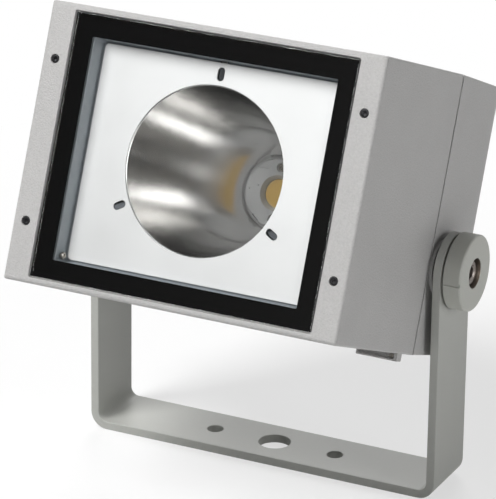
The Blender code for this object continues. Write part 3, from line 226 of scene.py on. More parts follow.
def tidy_mesh(mesh: bpy.types.Mesh) -> None:
    """Merges doubles and turns every face outwards.

    Args:
        mesh: The mesh.
    """
    work = bmesh.new()
    work.from_mesh(mesh)
    bmesh.ops.remove_doubles(work, verts=work.verts, dist=WELD)
    bmesh.ops.dissolve_degenerate(work, edges=work.edges, dist=WELD)
    bmesh.ops.recalc_face_normals(work, faces=work.faces)
    work.to_mesh(mesh)
    work.free()


def carve(target: Object, *steps: tuple[Cut, Surface], place: Place = Place.HEAD) -> Object:
    """Cuts or joins tools on a piece, one after the other, and keeps the result as its mesh.

    Args:
        target: The piece.
        *steps: Each tool with what it does.
        place: Where the tools were worked out.

    Returns:
        The piece.
    """
    tools = [surface.make("tool", place) for _, surface in steps]
    for (cut, _), tool in zip(steps, tools):
        modifier = target.modifiers.new(tool.name, "BOOLEAN")
        modifier.object = tool
        modifier.operation = cut.value
        modifier.solver = "EXACT"
    whole = target.evaluated_get(bpy.context.evaluated_depsgraph_get())
    carved = bpy.data.meshes.new_from_object(whole)
    target.modifiers.clear()
    target.data = carved
    for tool in tools:
        bpy.data.meshes.remove(tool.data)
    tidy_mesh(carved)
    return target


def eased(points: Sequence, rounding: Sequence, steps: int = 5, closed: bool = True) -> Array:
    """Rounds the corners of a line of points.

    At a corner P the curve is the circular arc ((1-s)^2 A + 2 s (1-s) w P + s^2 B) / ((1-s)^2 + 2 s (1-s) w +
    s^2) from A to B on its two edges, at the tangent length r / tan(f/2) from P, with w = sin(f/2) and f the
    angle between the edges. Only the first two columns count as lengths, and any further ones follow along.

    Args:
        points: The corners, by rows.
        rounding: The arc's radius at each corner, 0 for a sharp one.
        steps: Steps along each arc.
        closed: Whether the last point joins the first.

    Returns:
        The rounded line, by rows.
    """
    corner, radius = np.asarray(points, float), np.asarray(rounding, float)
    before, after = np.roll(corner, 1, 0) - corner, np.roll(corner, -1, 0) - corner
    length_before = np.maximum(np.linalg.norm(before[:, :2], axis=1), 1e-9)
    length_after = np.maximum(np.linalg.norm(after[:, :2], axis=1), 1e-9)
    cosine = (before[:, :2] * after[:, :2]).sum(1) / (length_before * length_after)
    half = np.arccos(np.clip(cosine, -1, 1)) / 2
    room = 0.49 * np.minimum(length_before, length_after)
    reach = np.minimum(radius / np.tan(np.maximum(half, 1e-3)), room)
    if not closed:
        reach[[0, -1]] = 0
    start = (corner + before * (reach / length_before)[:, None])[:, None]
    end = (corner + after * (reach / length_after)[:, None])[:, None]
    s = np.linspace(0, 1, steps + 1)[None, :, None]
    weight = 2 * s * (1 - s) * np.sin(half)[:, None, None]
    curve = (1 - s) ** 2 * start + weight * corner[:, None] + s**2 * end
    return (curve / ((1 - s) ** 2 + weight + s**2)).reshape(-1, corner.shape[1])


def corner_angles(steps: int) -> tuple[Array, Array]:
    """The angles round four corners, one after the other.

    Args:
        steps: Steps round each corner.

    Returns:
        The angles within one corner in degrees, and all of them in radians.
    """
    quarter = np.linspace(0, 90, steps + 1)
    return quarter, np.radians(90 * np.arange(4)[:, None] + quarter).ravel()


def frames(sections: Array, steps: int = 8) -> Array:
    """Rings of rounded rectangles, as x, depth and height.

    A ring's point at the angle a of a corner is the corner's centre plus radius (cos a, sin a), and the four
    centres lie one radius inside the sides, the top and the bottom.

    Args:
        sections: Rows of depth, half width, top, bottom and corner radius.
        steps: Steps round each corner.

    Returns:
        Rows by 4 (steps + 1) points by 3.
    """
    depth, side, top, bottom, radius = np.asarray(sections, float).T[..., None]
    angle = corner_angles(steps)[1]
    right = np.repeat([1, -1, -1, 1], steps + 1)
    upper = np.repeat([True, True, False, False], steps + 1)
    x = right * (side - radius) + radius * np.cos(angle)
    height = np.where(upper, top - radius, bottom + radius) + radius * np.sin(angle)
    return np.stack([x, np.broadcast_to(depth, x.shape), height], -1)


def lofted(rings: Array) -> Surface:
    """A solid through rings of as many points, with flat ends."""
    return Surface().grid(rings).cap(rings[0]).cap(rings[-1])


def slab(depth: float, back: float, edge: Edge, ease: float = 0.3) -> Surface:
    """A flat rounded rectangle with eased edges.

    Args:
        depth: Depth of its front.
        back: Depth of its back.
        edge: Half width, top, bottom and corner radius.
        ease: Rounding of its edges.

    Returns:
        The closed surface.
    """
    side, top, bottom, radius = edge
    inner = (side - 1, top - 1, bottom + 1, max(radius - 1, 0.2))
    rows = [(depth, *inner), (depth, *edge), (back, *edge), (back, *inner)]
    return lofted(frames(eased(rows, [0, ease, ease, 0], closed=False)))


def block(low: Sequence[float], high: Sequence[float], radius: float, steps: int = 2) -> Surface:
    """A block with rounded edges: an eighth of a ball at each corner.

    At longitude a and latitude b a point is the corner of the inner block, which is smaller by the radius all
    round, plus radius (cos b cos a, cos b sin a, sin b).

    Args:
        low: Lowest corner.
        high: Highest corner.
        radius: Rounding of the edges.
        steps: Steps round each edge.

    Returns:
        The closed surface.
    """
    low, high = np.asarray(low, float), np.asarray(high, float)
    quarter, around = corner_angles(steps)
    rise = np.radians(np.concatenate([quarter - 90, quarter]))[:, None]
    sign_x, sign_y = np.repeat([1, -1, -1, 1], steps + 1), np.repeat([1, 1, -1, -1], steps + 1)
    sign = np.stack(np.broadcast_arrays(sign_x, sign_y, np.repeat([-1, 1], steps + 1)[:, None]), -1)
    ball = (np.cos(rise) * np.cos(around), np.cos(rise) * np.sin(around), np.sin(rise))
    ball = np.stack(np.broadcast_arrays(*ball), -1)
    return lofted((low + high) / 2 + sign * ((high - low) / 2 - radius) + radius * ball)


def turned(
    profile: Sequence,
    axis: Axis = Axis.DEPTH,
    centre: Sequence[float] = (0, 0, 0),
    segments: int = 64,
    sign: float = 1.0,
    ring: bool = False,
    phase: float = 0.0,
) -> Surface:
    """A shape turned about an axis.

    At step u of the profile and angle a a point is the centre plus along(u) on the axis plus radius(u)
    (cos a, sin a) across it. A solid's profile starts and ends on the axis.

    Args:
        profile: Rows of distance along the axis and radius.
        axis: The axis.
        centre: Where the axis distance is 0.
        segments: Steps round.
        sign: -1 turns the shape end for end.
        ring: Whether the profile closes on itself instead.
        phase: The first angle, in degrees.

    Returns:
        The closed surface.
    """
    profile = np.asarray(profile, float)
    angle = math.radians(phase) + np.linspace(0, math.tau, segments, endpoint=False)
    along, first, second = axis.value
    points = np.empty((len(profile), segments, 3))
    points[..., along] = sign * profile[:, :1]
    points[..., first] = profile[:, 1:2] * np.cos(angle)
    points[..., second] = profile[:, 1:2] * np.sin(angle)
    return Surface().grid(points + np.asarray(centre, float), ring)


def bore(start: float, end: float, radius: float, ease: float, **turn: object) -> Surface:
    """A tool for a hole, with a short cone that eases both of its mouths.

    Args:
        start: Where the hole starts along its axis.
        end: Where it ends.
        radius: Its radius.
        ease: How wide and deep each cone is.
        **turn: What turned takes besides.

    Returns:
        The closed surface.
    """
    profile = [(start - 1, 0), (start - 1, radius + ease + 1), (start + ease, radius)]
    profile += [(end - ease, radius), (end + 1, radius + ease + 1), (end + 1, 0)]
    return turned(profile, **turn)


def drill(start: float, end: float, radius: float, **turn: object) -> Surface:
    """A plain round tool."""
    return turned([(start, 0), (start, radius), (end, radius), (end, 0)], **turn)


def linear(colour: str) -> Colour:
    """An sRGB hex colour in linear light.

    Args:
        colour: The colour, as #RRGGBB.

    Returns:
        Red, green, blue and 1.
    """
    values = np.array([int(colour[i : i + 2], 16) for i in (1, 3, 5)]) / 255
    values = np.where(values <= 0.04045, values / 12.92, ((values + 0.055) / 1.055) ** 2.4)
    return (*values.tolist(), 1.0)


def shade(colour: str, factor: float) -> Colour:
    """A colour made darker or lighter, in linear light."""
    return (*(min(value * factor, 1.0) for value in linear(colour)[:3]), 1.0)


def cleared(owner: Material | bpy.types.World) -> Tree:
    """Gives a new material or world its nodes, with nothing in them.

    Args:
        owner: The material or world.

    Returns:
        Its node tree.
    """
    owner.use_nodes = True
    owner.node_tree.nodes.clear()
    return owner.node_tree


def add_node(
    tree: Tree, kind: str, settings: dict | None = None, links: dict | None = None, out: int | str = 0
) -> Socket | None:
    """Adds a node with its settings and links.

    Args:
        tree: The material's or world's nodes.
        kind: The node's type, without the words that all of these types start with.
        settings: Values by the name of a property, or by the name or number of an input.
        links: Output sockets by the name or number of the input that they go into.
        out: The name or number of the output that is wanted.

    Returns:
        That output, or None from a node without one.
    """
    made = tree.nodes.new(f"ShaderNode{kind}")
    for name, value in (settings or {}).items():
        if isinstance(name, str) and hasattr(made, name):
            setattr(made, name, value)
        else:
            made.inputs[name].default_value = value
    for name, socket in (links or {}).items():
        tree.links.new(socket, made.inputs[name])
    return made.outputs[out] if len(made.outputs) else None


@dataclass(frozen=True)
class Finish:
    """A material and how its surface was made.

    Attributes:
        name: The material's name.
        colour: Its sRGB colour.
        roughness: Its roughness.
        metallic: 1 for a bare metal.
        coat: Weight of a clear gloss over it.
        grain: Width of the surface's grain in millimetres.
        depth: Height of the grain in millimetres.
        cloud: Width of the soft unevenness in colour and gloss, in millimetres.
        contrast: How far colour and gloss vary.
        gloss: Specular level, 0.5 for a plain surface.
    """

    name: str
    colour: str
    roughness: float
    metallic: float = 0.0
    coat: float = 0.0
    grain: float = 0.8
    depth: float = 0.02
    cloud: float = 30.0
    contrast: float = 0.03
    gloss: float = 0.5

    def material(self) -> Material:
        """Builds the material's nodes, once.

        Returns:
            The material.
        """
        known = bpy.data.materials.get(self.name)
        if known:
            return known
        made = bpy.data.materials.new(self.name)
        made.diffuse_color = linear(self.colour)
        tree = cleared(made)
        shader = self.surface(tree, add_node(tree, "TexCoord", out="Object"))
        add_node(tree, "OutputMaterial", links={"Surface": shader})
        return made

    def clouds(self, tree: Tree, place: Socket) -> Socket:
        """Soft unevenness from 0 to 1."""
        settings = {"Scale": 1 / (self.cloud * MM), "Detail": 3.0}
        return add_node(tree, "TexNoise", settings, {"Vector": place})

    def relief(self, tree: Tree, place: Socket) -> Socket:
        """The grain's height from 0 to 1."""
        settings = {"Scale": 1 / (self.grain * MM), "Detail": 2.0}
        return add_node(tree, "TexNoise", settings, {"Vector": place})

    def surface(self, tree: Tree, place: Socket) -> Socket:
        """Builds the shader: colour and roughness follow the clouds, and the bump follows the relief.

        Args:
            tree: The material's nodes.
            place: The object coordinates.

        Returns:
            The shader's output.
        """
        cloud, swing = {"Value": self.clouds(tree, place)}, 2 * self.contrast
        tint = add_node(tree, "MapRange", {"To Min": 1 - self.contrast, "To Max": 1 + self.contrast}, cloud)
        base = {"operation": "SCALE", 0: linear(self.colour)[:3]}
        colour = add_node(tree, "VectorMath", base, {"Scale": tint})
        spread = {"To Min": self.roughness * (1 - swing), "To Max": self.roughness * (1 + swing)}
        rough = add_node(tree, "MapRange", spread, cloud)
        height = {"Height": self.relief(tree, place)}
        bump = add_node(tree, "Bump", {"Distance": self.depth * MM}, height)
        settings = {"Metallic": self.metallic, "Coat Weight": self.coat, "Coat Roughness": 0.15}
        settings["Specular IOR Level"] = self.gloss
        links = {"Base Color": colour, "Roughness": rough, "Normal": bump}
        return add_node(tree, "BsdfPrincipled", settings, links)


@dataclass(frozen=True)
class PowderCoat(Finish):
    """Polyester powder sprayed and baked on metal: a satin skin with a fine, even grain like leather."""

    def clouds(self, tree: Tree, place: Socket) -> Socket:
        """The soft unevenness, with the fine speckle of the powder over it.

        Args:
            tree: The material's nodes.
            place: The object coordinates.

        Returns:
            The sum.
        """
        soft = super().clouds(tree, place)
        settings = {"Scale": 0.8 / (self.grain * MM), "Detail": 3.0}
        speckle = add_node(tree, "TexNoise", settings, {"Vector": place})
        return add_node(tree, "Math", {"operation": "MULTIPLY_ADD", 1: 0.4}, {0: soft, 2: speckle})

    def relief(self, tree: Tree, place: Socket) -> Socket:
        """The grain: rounded cells of the baked powder, with finer noise over them.

        Args:
            tree: The material's nodes.
            place: The object coordinates.

        Returns:
            The sum of both.
        """
        scale, vector = 1 / (self.grain * MM), {"Vector": place}
        settings = {"feature": "SMOOTH_F1", "Scale": scale, "Smoothness": 0.6}
        cells = add_node(tree, "TexVoronoi", settings, vector)
        fine = add_node(tree, "TexNoise", {"Scale": 1.7 * scale, "Detail": 2.0}, vector)
        return add_node(tree, "Math", {"operation": "ADD"}, {0: cells, 1: fine})


@dataclass(frozen=True)
class LinedMetal(Finish):
    """A bare metal with the fine lines that rolling, spinning or turning leaves.

    Attributes:
        pitch: Distance between lines in millimetres.
        tilted: Whether the lines follow the head's axes and not the room's.
        along: The axis across which the lines lie.
    """

    # Distance between the lines of Blender's wave texture at scale 1
    WAVE_LENGTH = 0.31416

    metallic: float = 1.0
    grain: float = 0.5
    depth: float = 0.004
    pitch: float = 0.7
    tilted: bool = True
    along: str = "Y"

    def relief(self, tree: Tree, place: Socket) -> Socket:
        """The lines: a wave of that pitch, made uneven, with the grain over it.

        Args:
            tree: The material's nodes.
            place: The object coordinates.

        Returns:
            The sum of both.
        """
        turn = {"Rotation": (TILT if self.tilted else 0.0, 0.0, 0.0)}
        own_place = add_node(tree, "Mapping", turn, {"Vector": place})
        settings = {"bands_direction": self.along, "Scale": self.WAVE_LENGTH / (self.pitch * MM)}
        settings |= {"Distortion": 0.8, "Detail": 2.0}
        wave = add_node(tree, "TexWave", settings, {"Vector": own_place}, out=1)
        return add_node(tree, "Math", {"operation": "ADD"}, {0: wave, 1: super().relief(tree, own_place)})


@dataclass(frozen=True)
class SpunMetal(LinedMetal):
    """Metal spun over a form: fine rings that pull each reflection into a streak along the profile.

    Attributes:
        stretch: How much further a reflection spreads across the rings than along them.
        centre: A point on the axis of spinning in the frame's place, in millimetres.
        axis: The axis' direction.
    """

    stretch: float = 0.7
    centre: Point = (0.0, 0.0, 0.0)
    axis: Point = (0.0, 1.0, 0.0)

    def surface(self, tree: Tree, place: Socket) -> Socket:
        """The lined metal, with the direction round the axis (axis x (place - centre)) as its tangent.

        Args:
            tree: The material's nodes.
            place: The object coordinates.

        Returns:
            The shader's output.
        """
        output = super().surface(tree, place)
        middle = tuple(value * MM for value in self.centre)
        arm = add_node(tree, "VectorMath", {"operation": "SUBTRACT", 1: middle}, {0: place})
        around = add_node(tree, "VectorMath", {"operation": "CROSS_PRODUCT", 0: self.axis}, {1: arm})
        settings = {"vector_type": "VECTOR", "convert_from": "OBJECT", "convert_to": "WORLD"}
        tangent = add_node(tree, "VectorTransform", settings, {"Vector": around})
        shader = output.node
        shader.inputs["Anisotropic"].default_value = self.stretch
        shader.inputs["Anisotropic Rotation"].default_value = 0.25
        tree.links.new(tangent, shader.inputs["Tangent"])
        return output


@dataclass(frozen=True)
class ClearGlass(Finish):
    """Toughened float glass: clear, hard gloss, faintly green, with a trace of haze."""

    def surface(self, tree: Tree, place: Socket) -> Socket:
        """Glass for what is seen through it; the light between lamps and inside goes straight through.

        Args:
            tree: The material's nodes.
            place: The object coordinates.

        Returns:
            The shader's output.
        """
        haze = add_node(tree, "MapRange", {"To Max": self.roughness}, {"Value": self.clouds(tree, place)})
        tint = linear(self.colour)
        settings = {"Base Color": tint, "Transmission Weight": 1.0, "IOR": 1.5}
        glass = add_node(tree, "BsdfPrincipled", settings, {"Roughness": haze})
        through = add_node(tree, "BsdfTransparent", {"Color": tint})
        path = add_node(tree, "LightPath").node.outputs
        # A ray that came through the pane's front counts as glossy too, and must still bend at its back
        inside = path["Is Transmission Ray"]
        minus, plus = ({"operation": name, "use_clamp": True} for name in ("SUBTRACT", "ADD"))
        straight = add_node(tree, "Math", minus, {0: path["Is Glossy Ray"], 1: inside})
        for kind in ("Is Diffuse Ray", "Is Shadow Ray"):
            straight = add_node(tree, "Math", plus, {0: straight, 1: path[kind]})
        return add_node(tree, "MixShader", links={0: straight, 1: glass, 2: through})


@dataclass(frozen=True)
class Phosphor(Finish):
    """Amber phosphor in silicone, poured and cured: soft, faintly grainy, a little glossy, paler at its rim.

    Attributes:
        rim: The colour at the rim.
        centre: The disc's centre in the frame's place, in millimetres.
        radius: The disc's radius in millimetres.
    """

    rim: str = "#FFDC98"
    centre: Point = (0.0, 0.0, 0.0)
    radius: float = 10.0

    def surface(self, tree: Tree, place: Socket) -> Socket:
        """A plain surface whose colour turns to the rim's with the distance from the centre.

        Args:
            tree: The material's nodes.
            place: The object coordinates.

        Returns:
            The shader's output.
        """
        middle = tuple(value * MM for value in self.centre)
        away = add_node(tree, "VectorMath", {"operation": "DISTANCE", 1: middle}, {0: place}, out=1)
        limits = {"From Min": 0.8 * self.radius * MM, "From Max": self.radius * MM}
        factor = add_node(tree, "MapRange", limits, {"Value": away})
        grain = self.relief(tree, place)
        ends = {"data_type": "RGBA", 6: shade(self.colour, 0.88), 7: shade(self.colour, 1.1)}
        speckle = add_node(tree, "Mix", ends, {0: grain}, out=2)
        ends = {"data_type": "RGBA", 7: linear(self.rim)}
        colour = add_node(tree, "Mix", ends, {0: factor, 6: speckle}, out=2)
        bump = add_node(tree, "Bump", {"Distance": self.depth * MM}, {"Height": grain})
        settings = {"Roughness": self.roughness, "Coat Weight": self.coat, "Coat Roughness": 0.1}
        return add_node(tree, "BsdfPrincipled", settings, {"Base Color": colour, "Normal": bump})


# Gives the castings their satin grey with a visible grain. The real powder's grain is 0.4 to 0.8 mm wide, and
# is drawn at about 1 mm, which is 1.5 pixels here
HEAD_COAT = PowderCoat("grey_powder_coat_on_casting", "#B0AFAE", 0.5, grain=1.0, depth=0.22, contrast=0.2)
# Gives the bar a smoother, slightly greener grey: the same powder on rolled steel
BAR_COAT = PowderCoat("grey_powder_coat_on_flat_bar", "#ACADA8", 0.48, grain=0.9, depth=0.05, contrast=0.04)
# Gives the discs the palest of the three greys, nearly without grain
DISC_COAT = PowderCoat("grey_powder_coat_on_turned_disc", "#B4B5AE", 0.45, grain=0.9, depth=0.04)
# Gives the window its plain, sharp reflection
PANE_GLASS = ClearGlass("toughened_glass_polished_edge", "#FDFEFE", 0.012, cloud=60)
# Ceramic ink fired on the glass: gives the deep black frame behind the gloss of the pane
BORDER_INK = Finish("black_ceramic_ink_screen_printed", "#060607", 0.5, grain=0.6, depth=0.004, gloss=0.0)
# Gives the plate its wide, soft near white with faint rolling lines, drawn 1.6 mm apart where they are finer
PLATE_SHEET = LinedMetal(
    "anodised_aluminium_sheet_rolled", "#D6D5D5", 0.55, grain=0.9, depth=0.002, pitch=1.6, along="Z"
)
# Gives long soft streaks across fine rings, drawn 2 mm apart where the spinning tool left them at 0.4 mm
BOWL_METAL = SpunMetal(
    "bright_aluminium_spun", "#E6E5E4", 0.16, grain=6.0, cloud=18, contrast=0.06, pitch=2.0,
    centre=Place.HEAD.point(0.0, 80.0, 31.7), axis=(0.0, math.cos(TILT), -math.sin(TILT)),
)
# Gives the walls behind the window a smooth blue grey
LINER_COAT = PowderCoat("grey_stove_enamel_on_pressed_sheet", "#858B90", 0.4, grain=0.7, depth=0.01)
# Gives the holder a matt white with the tool's fine grain
HOLDER_PLASTIC = Finish("white_polycarbonate_moulded", "#D2D2D2", 0.42, grain=0.7, depth=0.008, cloud=12)
# Gives screws and washers a grey gleam with rings of turning, drawn 0.7 mm apart
STEEL = LinedMetal("stainless_steel_turned", "#9C9892", 0.3)
# Gives the bolts a darker, uneven gleam deep in their recesses
BOLT_STEEL = LinedMetal(
    "stainless_steel_bolt_forged", "#7C7672", 0.36, grain=0.8, depth=0.01, contrast=0.1, cloud=5, pitch=1.2,
    tilted=False, along="X",
)
# Gives the recess walls a darker, brownish bare metal
BORE_STEEL = LinedMetal(
    "bare_steel_counterbored", "#857B72", 0.42, grain=0.8, depth=0.006, pitch=0.8, contrast=0.08, cloud=5,
    tilted=False, along="X",
)
# Gives the face screws a near black with a dull edge
BLACK_STEEL = Finish(
    "black_oxide_steel_forged", "#343436", 0.4, metallic=0.9, grain=0.5, depth=0.006, cloud=3, contrast=0.1
)
# Gives the clips a dark blue sheen behind the slots
SPRING_STEEL = Finish("blued_spring_steel_strip", "#5C5E62", 0.42, 1.0, grain=1.0, depth=0.004, cloud=6)
# Gives the earth screw its yellow
BRASS = LinedMetal("brass_turned", "#BEA05F", 0.28)
# Gives the board a glossy white under the emitter
BOARD = Finish("white_solder_mask_on_aluminium", "#D8DAD8", 0.4, coat=0.3, depth=0.004)
# Gives the pad a soft dull grey
PAD = Finish("grey_silicone_thermal_pad_calendered", "#787A7E", 0.8, grain=0.9, depth=0.03)
# Gives the seals a black that hardly shines, which draws the dark seam round the head
SILICONE = Finish("black_silicone_rubber_moulded", "#1C1C1E", 0.68)
# Gives the gland and the vent a satin black with a moulded grain
NYLON = Finish("black_polyamide_moulded", "#26262A", 0.46, grain=0.7, contrast=0.06, cloud=8)
# Gives the friction rings a rough brown black
FIBRE = Finish("vulcanised_fibre_punched", "#35322E", 0.8, grain=1.2, depth=0.03, contrast=0.1, cloud=6)
# Gives the driver a plain satin white
CASE = Finish("white_abs_moulded", "#E1E2E0", 0.5, grain=0.9, depth=0.015)
# Gives the terminal block the faint cream of undyed polyamide
BLOCK_PLASTIC = Finish("natural_polyamide_moulded", "#D2D2CB", 0.5, grain=0.9, depth=0.015)
# Gives the leads a soft dark grey
LEAD_SLEEVE = Finish("dark_silicone_insulation_extruded", "#3C3C40", 0.55, grain=1.4)


def keep(obj: Object, finish: Finish, slot: str, *nodes: str, body: str = "head") -> Object:
    """Shades and dresses a finished piece, and gives it its body and CAD nodes.

    Args:
        obj: The piece.
        finish: Its finish.
        slot: The record's material slot. Not used.
        *nodes: The CAD nodes that it stands for.
        body: The CAD body that it rides on.

    Returns:
        The piece.
    """
    mesh = obj.data
    mesh.materials.clear()
    mesh.materials.append(finish.material())
    mesh.shade_smooth()
    mesh.set_sharp_from_angle(angle=SHARP)
    weighted = obj.modifiers.new("flat_faces_stay_flat", "WEIGHTED_NORMAL")
    weighted.keep_sharp = True
    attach(obj, body)
    if nodes:
        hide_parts(*nodes)
    log.info("%s: %d faces, for %s", obj.name, len(mesh.polygons), ", ".join(nodes) or "itself")
    return obj


def dress(name: str, finish: Finish) -> None:
    """Gives a CAD node whose shape stays its finish.

    Args:
        name: The node.
        finish: Its finish.
    """
    mesh = frame["nodes"][name].data
    mesh.materials.clear()
    mesh.materials.append(finish.material())
    log.info("%s: its CAD shape stays", name)


@dataclass
class HeadShape:
    """The head's outer form, which both castings share."""

    half_width: float = 120.0
    above: float = 127.5
    below: float = 57.5
    seam: float = 135.5
    length: float = 208.0
    wall: float = 3.5
    corner: float = 1.6
    face_round: float = 2.6
    rear_round: float = 8.0
    rear_side_round: float = 1.5
    seam_gap: float = 2.0
    fin_thickness: float = 3.0
    fin_slots: int = 16
    column_inset: float = 13.0

    @property
    def pitch(self) -> float:
        """Distance between fins."""
        return (2 * self.half_width - self.fin_thickness) / self.fin_slots

    @property
    def column_radius(self) -> float:
        """A screw column's radius, which bites 1 mm into the side wall."""
        return self.fin_thickness / 2 + self.pitch / 2 - self.wall + 1

    @property
    def vent_x(self) -> float:
        """The vent plug's place, in the middle of a space between fins."""
        return 2.5 * self.pitch

    def skin(self, depth: Sequence, inset: Sequence | float = 0.0, drop: Sequence | float = 0.0) -> Array:
        """Sections of the outside.

        Up to the seam the top rises by 0.5 and the bottom falls by 3. Behind it they close in by 2.5 and 1.5.

        Args:
            depth: Depths behind the face.
            inset: How far each section lies inside the skin.
            drop: How much further its top and bottom lie inside.

        Returns:
            Rows of depth, half width, top, bottom and corner radius.
        """
        depth, inset, drop = np.broadcast_arrays(np.asarray(depth, float), inset, drop)
        front = np.minimum(depth / self.seam, 1)
        behind = np.maximum(depth - self.seam, 0) / (self.length - self.seam)
        top = self.above + 0.5 * front - 2.5 * behind - inset - drop
        bottom = -self.below - 3 * front + 1.5 * behind + inset + drop
        corner = np.maximum(self.corner - inset, 0.6)
        return np.stack([depth, self.half_width - inset, top, bottom, corner], -1)

    def columns(self) -> list[tuple[float, float]]:
        """Places of the four columns for the housing screws, as x and height.

        Returns:
            The places.
        """
        x = self.half_width - self.fin_thickness / 2 - self.pitch / 2
        heights = (self.above - self.column_inset, self.column_inset - self.below)
        return [(way * x, height) for way in WAYS for height in heights]


@dataclass
class SocketScrew:
    """A hex socket screw of the head, measured from the top of its own head."""

    head: float
    height: float
    shank: float
    flats: float
    socket: float
    length: float
    countersunk: bool = False
    ease: float = 0.3

    def build(self, name: str, top: Sequence[float], axis: Axis = Axis.DEPTH, sign: float = 1.0) -> Object:
        """Turns the screw and carves its socket.

        Args:
            name: The piece's name.
            top: The middle of its head's top.
            axis: The axis that it lies along.
            sign: 1 where it screws in along the axis, -1 against it.

        Returns:
            The piece.
        """
        points, rounding = [(0, 0), (0, self.head)], [0, self.ease / 2, 0, self.ease, 0]
        end = self.length
        if not self.countersunk:
            points.append((self.height, self.head))
            rounding = [0, self.ease, self.ease / 2, 0, self.ease, 0]
            end += self.height
        points += [(self.height, self.shank), (end, self.shank), (end, 0)]
        segments = 48 if self.head < 6 else 96
        turn = {"axis": axis, "centre": top, "sign": sign}
        screw = turned(eased(points, rounding, 4, False), segments=segments, **turn).make(name)
        corner = self.flats / 2 / math.cos(math.pi / 6)
        bevel = 0.12 * self.flats
        hexagon = [(-2, 0), (-2, corner), (self.socket, corner), (self.socket + 0.3 * corner, 0)]
        mouth = [(-2, 0), (-2, corner + bevel + 2), (bevel, corner), (bevel, 0)]
        tools = (turned(hexagon, segments=6, phase=30, **turn), turned(mouth, segments=segments, **turn))
        return carve(screw, *Cut.TAKE.each(tools))


@dataclass
class FrontCasting:
    """The front casting: face, glass recess, drafted walls, screw columns and the lug below.

    Attributes:
        lug: The lug's length, thickness and height.
        lug_depth: Where it starts behind the face.
        lug_outer: The x of its outer end.
        side_boss: The boss in each side wall that takes a screw of the window frame.
        side_bore: The bore in it.
        column: Length of the columns for the housing screws.
    """

    shape: HeadShape
    flange: float = 9.0
    recess: Edge = (102.0, 123.3, -53.3, 1.6)
    recess_floor: float = 6.0
    recess_lip: float = 1.3
    ledge: float = 12.0
    column: float = 22.0
    lug: tuple[float, float, float] = (29.5, 8.0, 5.5)
    lug_depth: float = 113.0
    lug_outer: float = 118.0
    lug_wall: float = 1.0
    lug_end_wall: float = 2.4
    lug_pocket: float = 3.0
    lug_screw_inset: float = 5.0
    side_boss: Span = (90.0, 117.5, 4.0)
    side_bore: Span = (88.0, 98.6, 1.8)
    column_bore: float = 2.8

    @property
    def under(self) -> float:
        """Height of the casting's underside at the lug."""
        return self.shape.skin(self.lug_depth)[3]

    @property
    def end(self) -> float:
        """Depth of the casting's rear edge."""
        return self.shape.seam - self.shape.seam_gap / 2

    def build(self) -> None:
        """Makes the casting and its small screws."""
        shape = self.shape
        side, top, bottom, corner = self.recess
        aperture = (side - self.ledge, top - self.ledge, bottom + self.ledge, corner)
        lip = self.recess_lip
        edge = shape.skin(shape.face_round * (1 - np.cos(QUARTER)), shape.face_round * (1 - np.sin(QUARTER)))
        loop = [
            (self.recess_floor, *aperture),
            (self.recess_floor, *self.recess),
            (0, *self.recess),
            (0, side + lip, top + lip, bottom - lip, corner + lip),
            *edge,
            shape.skin(self.end),
            shape.skin(self.end, shape.wall),
            shape.skin(self.flange, shape.wall),
            (self.flange, *aperture),
        ]
        rounding = [0.3, 0.8, 0.6, *[0] * (1 + len(edge)), 0.3, 0.2, 1.5, 0.3]
        body = Surface().grid(frames(eased(np.stack(loop), rounding, 6)), ring=True).make("front_casting")
        carve(body, *Cut.JOIN.each(self.joined()), *Cut.TAKE.each(self.cut()))
        keep(body, HEAD_COAT, "coated_casting", "front_housing")
        self.screws()

    def joined(self) -> list[Surface]:
        """Columns, side bosses and the lug, which the casting has all in one.

        Returns:
            A tool for each.
        """
        radius, start, end = self.shape.column_radius, self.end - self.column, self.end - 0.3
        tools = [drill(start, end, radius, centre=(x, 0, h)) for x, h in self.shape.columns()]
        length, thick, tall = self.lug
        low = (self.lug_outer - length, self.lug_depth, self.under - tall)
        tools.append(block(low, (self.lug_outer, self.lug_depth + thick, self.under + 2), 0.5, 4))
        return tools + [drill(*self.side_boss, axis=Axis.X, centre=SIDE_SCREW, sign=way) for way in WAYS]

    def lug_screw(self, depth: float) -> Point:
        """A point on the lug screw's axis."""
        return (self.lug_outer - self.lug_screw_inset, depth, self.under - (self.lug[2] - self.lug_wall) / 2)

    def cut(self) -> list[Surface]:
        """Screw pockets in the face, the lug's pocket, and the bores in columns, side bosses and lug.

        Returns:
            A tool for each.
        """
        pocket = [(-1, 0), (-1, 4.3), (0, 3.3), (0.25, 3.08), (0.6, 3)]
        pocket += [(3.3, 3), (3.3, 1.8), (12, 1.8), (12, 0)]
        tools = [turned(pocket, centre=(x, 0, h)) for x, h in FACE_SCREWS]
        span = (self.end - 13, self.end + 1)
        tools += [drill(*span, self.column_bore, centre=(x, 0, h)) for x, h in self.shape.columns()]
        tools += [drill(*self.side_bore, axis=Axis.X, centre=SIDE_SCREW, sign=way) for way in WAYS]
        floor, wall = self.lug_depth + self.lug_pocket, self.lug_wall
        low = (self.lug_outer - self.lug[0] + wall, self.lug_depth - 3, self.under - self.lug[2] + wall)
        tools.append(block(low, (self.lug_outer - self.lug_end_wall, floor, self.under - 0.3), 0.25))
        return [*tools, drill(-1, 3.9, 1.3, centre=self.lug_screw(floor))]

    def screws(self) -> None:
        """The dark screws in the face and the bright one in the lug."""
        screw = SocketScrew(2.7, 2.6, 1.5, 2.5, 1.4, 12)
        for number, (x, height) in enumerate(FACE_SCREWS, 1):
            made = screw.build(f"face_screw_{number}", (x, 0.4, height))
            keep(made, BLACK_STEEL, "blackened_steel", f"front_screw_{number}")
        screw = SocketScrew(1.6, 1.2, 1, 1.5, 0.7, 3.6)
        top = self.lug_screw(self.lug_depth + self.lug_pocket - 0.3 - screw.height)
        keep(screw.build("lug_fastener", top), STEEL, "stainless_steel", "lug_screw")


